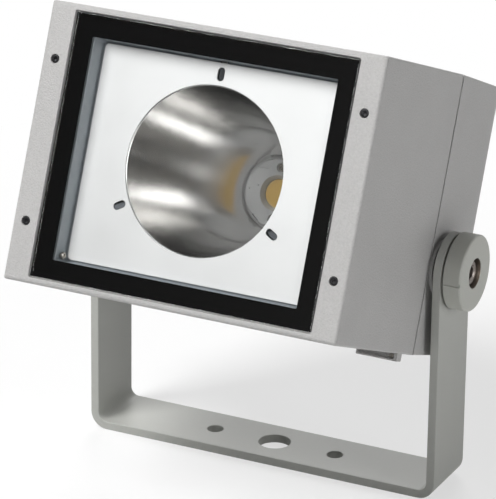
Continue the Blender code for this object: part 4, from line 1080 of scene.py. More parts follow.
@dataclass
class RearCasting:
    """The rear casting: shell, fins, pivot bosses, LED pedestal and the boss that takes the cable gland.

    Attributes:
        entry_top: Height up to which the cable gland's boss fills the slots beside the middle.
        led_plane: Depth of the pedestal's top.
        pedestal: The pedestal's radius at its top and at its foot.
        pivot_rim: Where the raised rim of a pivot boss ends, and its radius.
        driver_boss: Where a boss for the driver starts, and its radius, as with earth_boss.
        driver_bosses: Their places as x and height, as with earth_bosses and block_screw.
    """

    shape: HeadShape
    cavity_end: float = 173.0
    fin_root: float = 178.0
    root_round: float = 2.5
    tip_round: float = 1.1
    entry_top: float = -18.0
    led_plane: float = 150.0
    pedestal: tuple[float, float] = (30.0, 33.0)
    pivot_boss: Span = (96.5, 119.0, 16.0)
    pivot_rim: tuple[float, float] = (122.0, 19.0)
    pivot_bore: Span = (97.0, 127.0, 5.3)
    driver_bosses: tuple = ((-70, 8), (-70, 108))
    driver_boss: tuple[float, float] = (167.0, 4.0)
    earth_bosses: tuple = ((70, 20),)
    earth_boss: tuple[float, float] = (167.0, 6.0)
    boss_bore: Span = (166.0, 175.3, 2.3)
    block_bore: Span = (168.0, 176.75, 1.8)
    block_screw: tuple[float, float] = (70.0, 60.0)
    gland_bore: float = 8.3
    vent_bore: float = 3.3

    def build(self) -> None:
        """Makes the casting and the screws at its back."""
        shape, start = self.shape, self.shape.seam + self.shape.seam_gap / 2
        depth = shape.length - shape.rear_round * (1 - np.sin(QUARTER))
        inset, drop = (size * (1 - np.cos(QUARTER)) for size in (shape.rear_side_round, shape.rear_round))
        wall = [shape.skin(self.cavity_end, shape.wall), shape.skin(start, shape.wall), shape.skin(start)]
        front = eased(np.stack([*wall, shape.skin(start + 20)]), [0, 0.2, 0.3, 0], 5, False)
        body = lofted(frames(np.concatenate([front, shape.skin(depth, inset, drop)]))).make("rear_casting")
        joined, cut = Cut.JOIN.each(self.joined(start)), Cut.TAKE.each(self.cut())
        carve(body, (Cut.TAKE, self.slots()), *joined, *cut)
        keep(body, HEAD_COAT, "coated_casting", "rear_housing")
        screw = SocketScrew(4.2, 5, 2.5, 4, 2.5, self.fin_root - start + 14)
        for number, (x, height) in enumerate(shape.columns(), 1):
            made = screw.build(f"back_screw_{number}", (x, self.fin_root + screw.height, height), sign=-1)
            keep(made, STEEL, "stainless_steel", f"housing_screw_{number}")

    def slots(self) -> Surface:
        """The air spaces between the fins, with rounded roots and eased fin tips.

        Returns:
            One tool for all of them.
        """
        shape, whole = self.shape, Surface()
        half, back = (shape.pitch - shape.fin_thickness) / 2, shape.length + 0.05
        right = [(half + 1.4, back + 6), (half + 1.4, back), (half, back), (half, self.fin_root)]
        rounding = [0, 0, self.tip_round, self.root_round]
        line = eased(right + [(-x, y) for x, y in right[::-1]], rounding + rounding[::-1], 6)
        for i in range(shape.fin_slots):
            middle = (i + 0.5) * shape.pitch + shape.fin_thickness / 2 - shape.half_width
            low = self.entry_top if abs(middle) < shape.pitch else -90
            ring = np.stack([line[:, 0] + middle, line[:, 1], np.zeros(len(line))], -1)
            whole.join(lofted(np.stack([ring + (0, 0, low), ring + (0, 0, 150)])))
        return whole

    def joined(self, start: float) -> list[Surface]:
        """The columns, the pedestal, the pivot bosses and the bosses for driver and earth.

        Args:
            start: Depth of the casting's front edge.

        Returns:
            A tool for each.
        """
        floor, radius = self.cavity_end + 1, self.shape.column_radius
        tools = [drill(start + 0.3, floor, radius, centre=(x, 0, h)) for x, h in self.shape.columns()]
        tip, root = self.pedestal
        line = [(self.led_plane, 0), (self.led_plane, tip), (floor, root), (floor, 0)]
        line = eased(line, [0, 1, 0, 0], 4, False)
        tools.append(turned(line, centre=(0, 0, LED_HEIGHT), segments=96))
        near, (far, wide) = self.pivot_boss[1], self.pivot_rim
        rim = eased([(near, 0), (near, wide), (far, wide), (far, 0)], [0, 0, 0.4, 0], 4, False)
        for way in WAYS:
            turn = {"axis": Axis.X, "centre": (0, AXIS_DEPTH, 0), "sign": way}
            tools += [drill(*self.pivot_boss, **turn), turned(rim, segments=96, **turn)]
        for boss, places in ((self.driver_boss, self.driver_bosses), (self.earth_boss, self.earth_bosses)):
            depth, radius = boss
            tools += [drill(depth, floor, radius, centre=(x, 0, h)) for x, h in places]
        return tools

    def cut(self) -> list[Surface]:
        """Every bore: columns, spot faces, pivots, pedestal, gland and vent.

        Returns:
            A tool for each.
        """
        vent_x, back, mouth = self.shape.vent_x, self.shape.length, self.cavity_end - 5
        columns = self.shape.columns()
        tools = [drill(135, back, 3.0, centre=(x, 0, h)) for x, h in columns]
        faces = [(x, h, 4.8) for x, h in columns] + [(vent_x, ENTRY_HEIGHT, 5.2)]
        tools += [drill(self.fin_root - 0.3, back, r, centre=(x, 0, h)) for x, h, r in faces]
        for way in WAYS:
            tools.append(drill(*self.pivot_bore, axis=Axis.X, centre=(0, AXIS_DEPTH, 0), sign=way))
            tools.append(drill(145, 162, 1.8, centre=(0, 0, LED_HEIGHT + way * LED_SCREW_REACH)))
        tools += [drill(*self.boss_bore, centre=(x, 0, h)) for x, h in self.driver_bosses + self.earth_bosses]
        x, height = self.block_screw
        tools.append(drill(*self.block_bore, centre=(x, 0, height)))
        tools.append(bore(mouth, back, self.gland_bore, 0.5, centre=(0, 0, ENTRY_HEIGHT)))
        return [*tools, drill(mouth, self.fin_root + 5, self.vent_bore, centre=(vent_x, 0, ENTRY_HEIGHT))]


@dataclass
class Window:
    """The pane with its printed border, and the beds and seals of rubber."""

    pane: Edge = (101.0, 122.3, -52.3, 0.6)
    front: float = 0.5
    back: float = 4.5
    clear: Edge = (87.9, 107.9, -39.4, 0.8)

    def build(self) -> None:
        """Makes the pane and the border, and dresses the gaskets."""
        keep(slab(self.front, self.back, self.pane, 0.5).make("pane"), PANE_GLASS, "glass", "front_glass")
        side, top, bottom, corner = self.pane
        outer = (side - 0.2, top - 0.2, bottom + 0.2, corner)
        near, far = self.back + 0.06, self.back + 0.12
        rows = [(near, *outer), (near, *self.clear), (far, *self.clear), (far, *outer)]
        border = Surface().grid(frames(np.array(rows)), ring=True).make("printed_border")
        keep(border, BORDER_INK, "glass")
        # The thin ink throws no shadow, because the photograph's plate is evenly lit right up to it
        border.visible_shadow = False
        for name in ("glass_gasket", "housing_gasket"):
            dress(name, SILICONE)


@dataclass
class Optic:
    """What lies behind the pane: the pressed frame, the mirror plate with its clips, and the spun bowl.

    Attributes:
        window: Half width, top and bottom of the frame's opening at its front.
        draft: How far the frame's walls close in over its depth.
        mouth: Radius of the bowl in front.
        mouth_height: Height of the mouth's middle.
        neck: Radius of the bowl at the LED's end.
        drop: How much lower the LED's end lies.
        slot_size: Length and width of a slot in the plate.
    """

    window: tuple[float, float, float] = (88.5, 109.0, -41.0)
    frame_front: float = 9.3
    frame_depth: float = 12.0
    draft: float = 1.8
    sheet: float = 1.2
    flange: float = 10.0
    flange_corner: float = 13.0
    lip: float = 5.0
    plate_front: float = 20.0
    plate_back: float = 21.0
    mouth: float = 55.5
    mouth_height: float = 35.0
    neck: float = 25.0
    bowl_front: float = 21.3
    bowl_back: float = 145.2
    drop: float = 7.0
    slot_reach: float = 63.5
    slot_size: tuple[float, float] = (8.8, 4.8)
    slot_angles: tuple[float, float, float] = (90.0, 210.0, 330.0)

    def ring(self, depth: float, out: float, corner: float = 3.0) -> tuple[float, ...]:
        """A section of the frame that lies out beyond the window."""
        side, top, bottom = self.window
        return (depth, side + out, top + out, bottom - out, corner)

    def side(self, depth: float) -> float:
        """Half width between the frame's drafted walls at a depth."""
        return self.window[0] - self.draft * (depth - self.frame_front) / self.frame_depth

    def build(self) -> None:
        """Makes the frame, the plate and the bowl, and dresses the clips."""
        self.liner()
        self.plate()
        self.bowl()
        for number in (1, 2, 3):
            dress(f"reflector_clip_{number}", SPRING_STEEL)

    def liner(self) -> None:
        """The pressed frame: one bent sheet from its flange through the drafted wall to its lip."""
        front, back = self.frame_front, self.frame_front + self.frame_depth
        under, behind = front + self.sheet, back + self.sheet
        loop = [
            self.ring(front, self.flange, self.flange_corner),
            self.ring(front, 0),
            self.ring(back, -self.draft),
            self.ring(back, -self.draft - self.lip),
            self.ring(behind, -self.draft - self.lip),
            self.ring(behind, self.sheet - self.draft, 4),
            self.ring(under, self.sheet, 4),
            self.ring(under, self.flange, self.flange_corner),
        ]
        rounding = [0.2, 0.9, 0.7, 0.2, 0.2, 1.6, 0.4, 0.2]
        body = Surface().grid(frames(eased(loop, rounding, 5)), ring=True).make("window_frame")
        ears, holes = [], [block((-2.8, back - 0.3, 98), (2.8, back + 4, 107.2), 0.3)]
        for height in FACE_SCREW_HEIGHTS:
            for way in WAYS:
                near, far = sorted((way * 96, way * 113.4))
                ears.append(block((near, front, height - 7), (far, under, height + 7), 0.3))
        for way in WAYS:
            holes += [drill(5, 15, 1.8, centre=(way * FACE_SCREW_X, 0, h)) for h in FACE_SCREW_HEIGHTS]
            holes.append(drill(80, 93, 1.8, axis=Axis.X, centre=SIDE_SCREW, sign=way))
        carve(body, *Cut.JOIN.each(ears), *Cut.TAKE.each(holes))
        keep(body, LINER_COAT, "coated_sheet", "optic_frame")
        screw = SocketScrew(2.5, 1.6, 1.5, 2, 0.9, 10)
        seat = self.side(SIDE_SCREW[1] + screw.head) - 0.3 - screw.height
        for way, word in SIDES:
            made = screw.build(f"liner_screw_{word}", (way * seat, *SIDE_SCREW[1:]), Axis.X, way)
            keep(made, STEEL, "stainless_steel", f"frame_screw_{word}")

    def plate(self) -> None:
        """The flat mirror with its round hole and its three slots, whose edges are eased."""
        side = self.side(self.plate_front) - 1.5
        inset = self.window[0] - side
        edge = (side, self.window[1] - inset, self.window[2] + inset, 3.0)
        span = (self.plate_front, self.plate_back)
        body = slab(*span, edge, 0.25).make("mirror_plate")
        hole = bore(*span, self.mouth + 0.6, 0.2, centre=(0, 0, self.mouth_height), segments=128)
        carve(body, *Cut.TAKE.each([hole, *(self.slot(angle) for angle in self.slot_angles)]))
        keep(body, PLATE_SHEET, "bright_aluminium", "reflector_plate")

    def slot(self, angle: float) -> Surface:
        """A radial slot: a rectangle 8.8 by 4.8 whose ends are half rounds, with eased edges.

        Args:
            angle: Its direction from the mouth's middle, in degrees.

        Returns:
            The tool.
        """
        turn, (long, wide) = math.radians(angle), np.array(self.slot_size) / 2
        corners = [(long, wide), (-long, wide), (-long, -wide), (long, -wide)]
        line = eased(corners, [wide - 0.01] * 4, 8)
        rows = np.array([(19, 1.9), (20, 0.9), (20.25, 0.65), (20.75, 0.65), (21, 0.9), (22, 1.9)])
        size = 1 + (rows[:, 1:] - 0.65) / 4.0
        along, across = (self.slot_reach + line[:, 0] * size), line[:, 1] * size
        x = along * math.cos(turn) - across * math.sin(turn)
        height = self.mouth_height + along * math.sin(turn) + across * math.cos(turn)
        return lofted(np.stack([x, np.broadcast_to(rows[:, :1], x.shape), height], -1))

    def bowl(self) -> None:
        """The spun bowl with its rolled bead.

        The radius squared falls evenly with depth from 55.5^2 to 25^2, which is a parabola, and stays for the
        last 3 mm. The whole is sheared, so that the LED's end lies 7 mm lower.
        """
        front, end, mouth = self.bowl_front, self.bowl_back - 3, self.mouth
        depth = np.linspace(front, end, 40)
        radius = np.sqrt(mouth**2 + (self.neck**2 - mouth**2) * (depth - front) / (end - front))
        inside = np.stack([np.append(depth, self.bowl_back), np.append(radius, self.neck)], -1)
        outside = (inside + (0, 1))[1:][::-1]
        steps = np.array([(6, 0), (1, 1), (1, 3.2), (0, 3.2), (0, 0), (6, -1)])
        bead = eased(steps + (front, mouth), [0, 0.3, 0.5, 0.5, 0.35, 0], 4, False)
        bead = bead[5:-5][bead[5:-5, 0] < front + 1.2]
        surface = turned(np.concatenate([inside[1:], outside, bead]), segments=144, ring=True)
        points = surface.points[0]
        points[:, 2] += self.mouth_height - self.drop * (points[:, 1] - front) / (self.bowl_back - front)
        keep(surface.make("bowl"), BOWL_METAL, "bright_aluminium", "reflector")


@dataclass
class LightSource:
    """The emitting disc on its board, the round holder that clamps it, and the pad below.

    Attributes:
        cone: How far the opening widens towards the front.
        board: Half width of the pocket for the board.
        latch: A latch slot's distance from the middle, length, width and depth.
        wells: The small moulded wells, each with x, rise above the middle and radius.
    """

    front: float = 142.5
    step: float = 145.5
    back: float = 148.7
    disc: float = 146.6
    disc_back: float = 147.2
    disc_radius: float = 10.0
    radius: float = 23.6
    foot: float = 27.0
    opening: float = 10.3
    cone: float = 2.0
    board: float = 13.3
    latch: tuple[float, float, float, float] = (22.1, 6.4, 1.3, 2.2)
    latch_angles: tuple[float, float, float] = (-124, -56, 56)
    wells: tuple = ((-14.3, 3.4, 0.6), (-20.2, 0.3, 0.55), (20.2, -0.3, 0.55), (14.3, -3.4, 0.6))

    def build(self) -> None:
        """Makes holder, disc and screws, and dresses board and pad."""
        centre = (0, 0, LED_HEIGHT)
        loop = [
            (self.front, self.opening + self.cone),
            (self.front, self.radius),
            (self.step, self.radius),
            (self.step, self.foot),
            (self.back, self.foot),
            (self.back, self.opening),
            (self.disc, self.opening),
        ]
        rounding = [0.4, 0.9, 0.5, 0.6, 0.3, 0.2, 0.2]
        holder = turned(eased(loop, rounding, 4), centre=centre, segments=144, ring=True).make("led_ring")
        carve(holder, *Cut.TAKE.each(self.details()))
        keep(holder, HOLDER_PLASTIC, "white_plastic", "led_holder")
        amber = Phosphor(
            "amber_phosphor_in_silicone", "#FFD07A", 0.5, coat=0.25, grain=0.7, depth=0.01,
            centre=Place.HEAD.point(0.0, self.disc, LED_HEIGHT),
        )
        back, rim = self.disc_back, self.disc_radius
        line = [(back, 0), (back, rim), (self.disc, rim), (self.disc - 0.15, 6), (self.disc - 0.2, 0)]
        disc = eased(line, [0, 0.1, 0.25, 3, 0], 5, False) + (0.2, 0)
        emitter = turned(disc, centre=centre, segments=96).make("emitting_disc")
        keep(emitter, amber, "phosphor", "led_emitter")
        screw = SocketScrew(3, 1.8, 1.5, 2, 1.1, 12, countersunk=True)
        for number, way in ((1, 1), (2, -1)):
            top = (0, self.front + 1, LED_HEIGHT + way * LED_SCREW_REACH)
            keep(screw.build(f"ring_screw_{number}", top), STEEL, "stainless_steel", f"holder_screw_{number}")
        dress("led_board", BOARD)
        dress("thermal_pad", PAD)

    def details(self) -> list[Surface]:
        """The board's pocket, screw seats, wire notch, latch slots and small moulded wells.

        Returns:
            A tool for each.
        """
        h = LED_HEIGHT
        board = self.board
        tools = [block((-board, self.disc_back, h - board), (board, 153, h + board), 0.2)]
        sink = [(136, 0), (136, 3.5), (143.4, 3.3), (145.3, 1.8), (152, 1.8), (152, 0)]
        tools += [turned(sink, centre=(0, 0, h + way * LED_SCREW_REACH), segments=48) for way in WAYS]
        tools.append(block((-25, 137, h + 15.3), (-8.85, 145.2, h + 25), 0.4))
        tools += [self.slot(angle) for angle in self.latch_angles]
        for x, rise, radius in self.wells:
            centre = (x, 0, h + rise)
            tools.append(drill(self.front - 1, self.front + 1.2, radius, centre=centre, segments=24))
        return tools

    def slot(self, angle: float) -> Surface:
        """A narrow latch slot that lies across a radius.

        Args:
            angle: Direction of the radius in degrees.

        Returns:
            The tool.
        """
        turn, (reach, length, width, deep) = math.radians(angle), self.latch
        half, side = length / 2, width / 2
        corners = [(half, side), (-half, side), (-half, -side), (half, -side)]
        line = eased(corners, [side * 0.95] * 4, 4)
        x = reach * math.cos(turn) - line[:, 0] * math.sin(turn) + line[:, 1] * math.cos(turn)
        z = LED_HEIGHT + reach * math.sin(turn) + line[:, 0] * math.cos(turn) + line[:, 1] * math.sin(turn)
        depths = np.array([self.front - 1, self.front + deep])[:, None]
        return lofted(np.stack(np.broadcast_arrays(x, depths, z), -1))


@dataclass
class Yoke:
    """The flat bar, bent to a U, with its arm tops rounded about the pivot.

    Attributes:
        outside: The x of the arms' outer faces.
        holes: The holes in the base, each with x and radius.
    """

    width: float = 50.0
    thickness: float = 6.0
    outside: float = 131.0
    bend: float = 6.0
    ease: float = 0.7
    pivot_bore: float = 5.5
    holes: tuple = ((-46, 5.5), (0, 11), (46, 5.5))

    def build(self) -> None:
        """Sweeps the bar and carves its holes."""
        body = Surface().grid(self.stations()).make("yoke_bar", Place.YOKE)
        base = {"axis": Axis.UP, "segments": 96}
        tools = [bore(0, self.thickness, radius, 0.45, centre=(x, 0, 0), **base) for x, radius in self.holes]
        span = (self.outside - self.thickness, self.outside)
        arm = {"axis": Axis.X, "centre": (0, 0, PIVOT[2])}
        tools += [bore(*span, self.pivot_bore, 0.3, sign=way, **arm) for way in WAYS]
        carve(body, *Cut.TAKE.each(tools), place=Place.YOKE)
        keep(body, BAR_COAT, "coated_steel", "yoke", body="yoke_frame")

    def stations(self) -> Array:
        """The bar's section at each station along it.

        The section is a rectangle of thickness by width with eased corners, as depth t below the outer face
        and width w. At a station on an arm's round top, at the angle a above the pivot, a point is
        (outside - t, w cos a, pivot + |w| sin a). In a bend, at the angle b, it is the bend's centre plus
        (bend + thickness - t) (cos b, -sin b), at y = w.

        Returns:
            Stations by points by 3, from the right arm's top to the left one's.
        """
        half, thick = self.width / 2, self.thickness
        section = eased([(0, half), (thick, half), (thick, -half), (0, -half)], [self.ease] * 4, 4)
        below, across = section[:, 0], section[:, 1]
        top = np.radians(np.linspace(90, 0, 37))[:, None]
        arm = (self.outside - below, across * np.cos(top), PIVOT[2] + np.abs(across) * np.sin(top))
        turn = np.radians(np.linspace(0, 90, 13))[:, None]
        radius = self.bend + thick
        x = self.outside - radius + (radius - below) * np.cos(turn)
        bend = (x, across, radius - (radius - below) * np.sin(turn))
        right = np.concatenate([np.stack(np.broadcast_arrays(*part), -1) for part in (arm, bend)])
        return np.concatenate([right, right[::-1] * (-1, 1, 1)])


@dataclass
class Pivots:
    """On each side: friction washer, disc with its index groove, lock washer and clamp bolt.

    Attributes:
        washer: Where the friction washer starts and ends.
        disc: Where the disc starts and ends.
        foot: Radius and thickness of the disc's stepped-in foot.
        recess: Radius of the recess for the bolt's head.
        seat: Where the recess ends.
    """

    washer: tuple[float, float] = (122.3, 124.7)
    washer_radius: float = 19.0
    disc: tuple[float, float] = (131.3, 145.0)
    radius: float = 26.0
    foot: tuple[float, float] = (22.5, 1.4)
    rounding: float = 1.2
    recess: float = 10.2
    seat: float = 134.0
    bore: float = 5.5
    inner: float = 5.3
    lock_radius: float = 9.0
    bolt_top: float = 142.6
    bolt_length: float = 38.1

    def build(self) -> None:
        """Makes both sides."""
        for way, word in SIDES:
            at_head = {"axis": Axis.X, "centre": (0, AXIS_DEPTH, 0), "sign": way}
            at_yoke = {"axis": Axis.X, "centre": (0, 0, PIVOT[2]), "sign": way}
            ring = self.washer_profile(*self.washer, self.washer_radius)
            fibre = turned(ring, segments=96, ring=True, **at_head).make(f"friction_ring_{word}")
            keep(fibre, FIBRE, "fibre", f"friction_washer_{word}")
            self.turned_disc(way, word, at_yoke)
            self.lock_washer(way, word, at_yoke)
            bolt = SocketScrew(8, 6.5, 5, 8, 4, self.bolt_length, ease=0.7)
            made = bolt.build(f"bolt_{word}_turned", (way * self.bolt_top, AXIS_DEPTH, 0), Axis.X, -way)
            keep(made, BOLT_STEEL, "stainless_steel", f"clamp_bolt_{word}", body=f"bolt_{word}")

    def washer_profile(self, near: float, far: float, radius: float) -> Array:
        """A flat washer's section with eased edges."""
        return eased([(near, self.inner), (near, radius), (far, radius), (far, self.inner)], [0.2] * 4, 3)

    def turned_disc(self, way: int, word: str, at_yoke: dict) -> None:
        """The disc, whose stepped-in foot shows as the dark line beside the arm, and whose recess is darker
        metal.

        Args:
            way: -1 for the left side, 1 for the right.
            word: The side's name.
            at_yoke: How it is turned.
        """
        (near, far), (foot, step) = self.disc, self.foot
        loop = [(near, self.bore), (near, foot), (near + step, foot), (near + step, self.radius)]
        loop += [(far, self.radius), (far, self.recess), (self.seat, self.recess), (self.seat, self.bore)]
        line = eased(loop, [0, 0.2, 0, 0.4, self.rounding, 0.5, 0.2, 0], 10)
        disc = turned(line, segments=144, ring=True, **at_yoke).make(f"disc_{word}", Place.YOKE)
        carve(disc, (Cut.TAKE, self.groove(way)), place=Place.YOKE)
        keep(disc, DISC_COAT, "coated_disc", f"pivot_disc_{word}", body="yoke_frame")
        mesh = disc.data
        middle = np.empty(3 * len(mesh.polygons), np.float32)
        mesh.polygons.foreach_get("center", middle)
        middle = middle.reshape(-1, 3) / MM - (0, PIVOT[1], PIVOT[2])
        # Faces inside the recess take the darker, brownish metal
        bare = (np.hypot(middle[:, 1], middle[:, 2]) < self.recess + 0.05) & (way * middle[:, 0] > near + 0.2)
        mesh.materials.append(BORE_STEEL.material())
        mesh.polygons.foreach_set("material_index", bare.astype(np.int32))

    def lock_washer(self, way: int, word: str, at_yoke: dict) -> None:
        """The split washer under the bolt's head.

        Args:
            way: -1 for the left side, 1 for the right.
            word: The side's name.
            at_yoke: How it is turned.
        """
        near, far = self.seat + 0.3, self.seat + 1.8
        ring = self.washer_profile(near, far, self.lock_radius)
        lock = turned(ring, ring=True, **at_yoke).make(f"spring_washer_{word}", Place.YOKE)
        low, high = sorted((way * (near - 1), way * (far + 1)))
        gap = block((low, 4, PIVOT[2] - 0.6), (high, 11, PIVOT[2] + 0.6), 0.1)
        carve(lock, (Cut.TAKE, gap), place=Place.YOKE)
        keep(lock, STEEL, "stainless_steel", f"lock_washer_{word}", body="yoke_frame")

    def groove(self, way: int) -> Surface:
        """The index groove along the front of the disc's flank: a shallow trough with eased lips.

        Args:
            way: -1 for the left side, 1 for the right.

        Returns:
            The tool.
        """
        half = [(-30, 2.1), (-26.1, 1.35), (-25.2, 1.0)]
        line = eased(half + [(y, -z) for y, z in half[::-1]], [0, 0.2, 0.2, 0.2, 0.2, 0], 4)
        ends = np.array([way * 130.0, way * 147.0])[:, None]
        return lofted(np.stack(np.broadcast_arrays(ends, line[:, 0], PIVOT[2] + line[:, 1]), -1))


@dataclass
class CableEntry:
    """The gland on its boss between the fins, and the vent plug beside it."""

    shape: HeadShape
    seat: float = 208.3
    hexagon: float = 6.0
    flats: float = 22.0
    neck: float = 7.2
    ribs: int = 18
    rib_steps: int = 12

    def build(self) -> None:
        """Makes body, dome, seal and vent."""
        seat, neck, hex_end = self.seat, self.neck, self.seat + self.hexagon
        neck_end = hex_end + 7
        corner = self.flats / 2 / math.cos(math.pi / 6)
        at = {"centre": (0, 0, ENTRY_HEIGHT)}
        body = turned([(seat, 0), (seat, corner), (hex_end, corner), (hex_end, 0)], segments=6, **at)
        body = body.make("gland_hex")
        cone = [(seat - 1, 0), (seat - 1, 11.6), (seat + 0.5, 12.7), (hex_end - 0.9, 12.7)]
        cone += [(hex_end + 0.1, 11.0), (hex_end + 0.1, 0)]
        line = [(seat - 12, 0), (seat - 12, 8), (hex_end - 1, 8), (hex_end - 1, neck), (neck_end, neck)]
        tube = turned(eased([*line, (neck_end, 0)], [0, 0.6, 0, 0, 0.4, 0], 3, False), segments=96, **at)
        hole = drill(seat - 20, neck_end + 5, 4.2, **at)
        carve(body, (Cut.KEEP, turned(cone, segments=96, **at)), (Cut.JOIN, tube), (Cut.TAKE, hole))
        keep(body, NYLON, "black_nylon", "gland_body")
        self.dome(hex_end + 0.3)
        near, far = neck_end + 0.3, neck_end + 4.3
        ring = eased([(near, neck), (near, 4.0), (far, 4.0), (far, neck)], [0.2, 0.6, 0.6, 0.2], 3)
        keep(turned(ring, ring=True, **at).make("gland_grommet"), SILICONE, "silicone", "gland_seal")
        self.vent()

    def dome(self, start: float) -> None:
        """The dome nut, whose flank has ribs for the hand.

        Its radius is the profile's less 0.45 k (1 - cos(18 a)) / 2 at the angle a, where k is 1 along the
        ribbed flank and 0 elsewhere.

        Args:
            start: Depth of its front end.
        """
        end, segments = start + 14, self.ribs * self.rib_steps
        loop = [(start, 7.5), (start, 9.9), (start + 1.2, 9.9), (end - 3.2, 9.9), (end - 0.9, 8.7)]
        loop += [(end, 5.6), (end, 4.2), (end - 2.7, 4.2), (end - 2.7, 7.5)]
        profile = eased(loop, [0, 0.4, 0, 1.2, 1.2, 0.8, 0.4, 0, 0], 5)
        ribbed = (profile[:, 0] > start + 1) & (profile[:, 0] < end - 1.4) & (profile[:, 1] > 8.9)
        surface = turned(profile, segments=segments, ring=True)
        points = surface.points[0].reshape(len(profile), segments, 3)
        angle = np.linspace(0, math.tau, segments, endpoint=False)
        shrink = 1 - 0.45 * ribbed[:, None] * (1 - np.cos(self.ribs * angle)) / 2 / profile[:, 1:]
        points[..., 0] *= shrink
        points[..., 2] = points[..., 2] * shrink + ENTRY_HEIGHT
        keep(surface.make("gland_nut"), NYLON, "black_nylon", "gland_dome")

    def vent(self) -> None:
        """The vent plug: a low round cap with four breathing notches."""
        x, line = self.shape.vent_x, [(168.4, 0), (168.4, 3), (178, 3), (178, 4.6), (183.5, 4.6), (183.5, 0)]
        profile = eased(line, [0, 0.4, 0, 0.2, 1.0, 0], 4, False)
        plug = turned(profile, centre=(x, 0, ENTRY_HEIGHT), segments=96).make("vent_cap")
        turn = {"centre": (x, 181.2, ENTRY_HEIGHT), "segments": 24}
        ways = [(axis, way) for axis in (Axis.X, Axis.UP) for way in WAYS]
        carve(plug, *Cut.TAKE.each(drill(3.9, 6, 0.7, axis=axis, sign=way, **turn) for axis, way in ways))
        keep(plug, NYLON, "black_nylon", "vent_plug")


class Wiring:
    """The closed compartment's contents, whose CAD shapes stay."""

    FINISHES = {
        "led_driver": CASE,
        "driver_screw_1": STEEL,
        "driver_screw_2": STEEL,
        "terminal_block": BLOCK_PLASTIC,
        "terminal_screw": STEEL,
        "earth_screw": BRASS,
        "led_lead": LEAD_SLEEVE,
        "driver_lead": LEAD_SLEEVE,
    }

    def build(self) -> None:
        """Dresses each piece."""
        for name, finish in self.FINISHES.items():
            dress(name, finish)


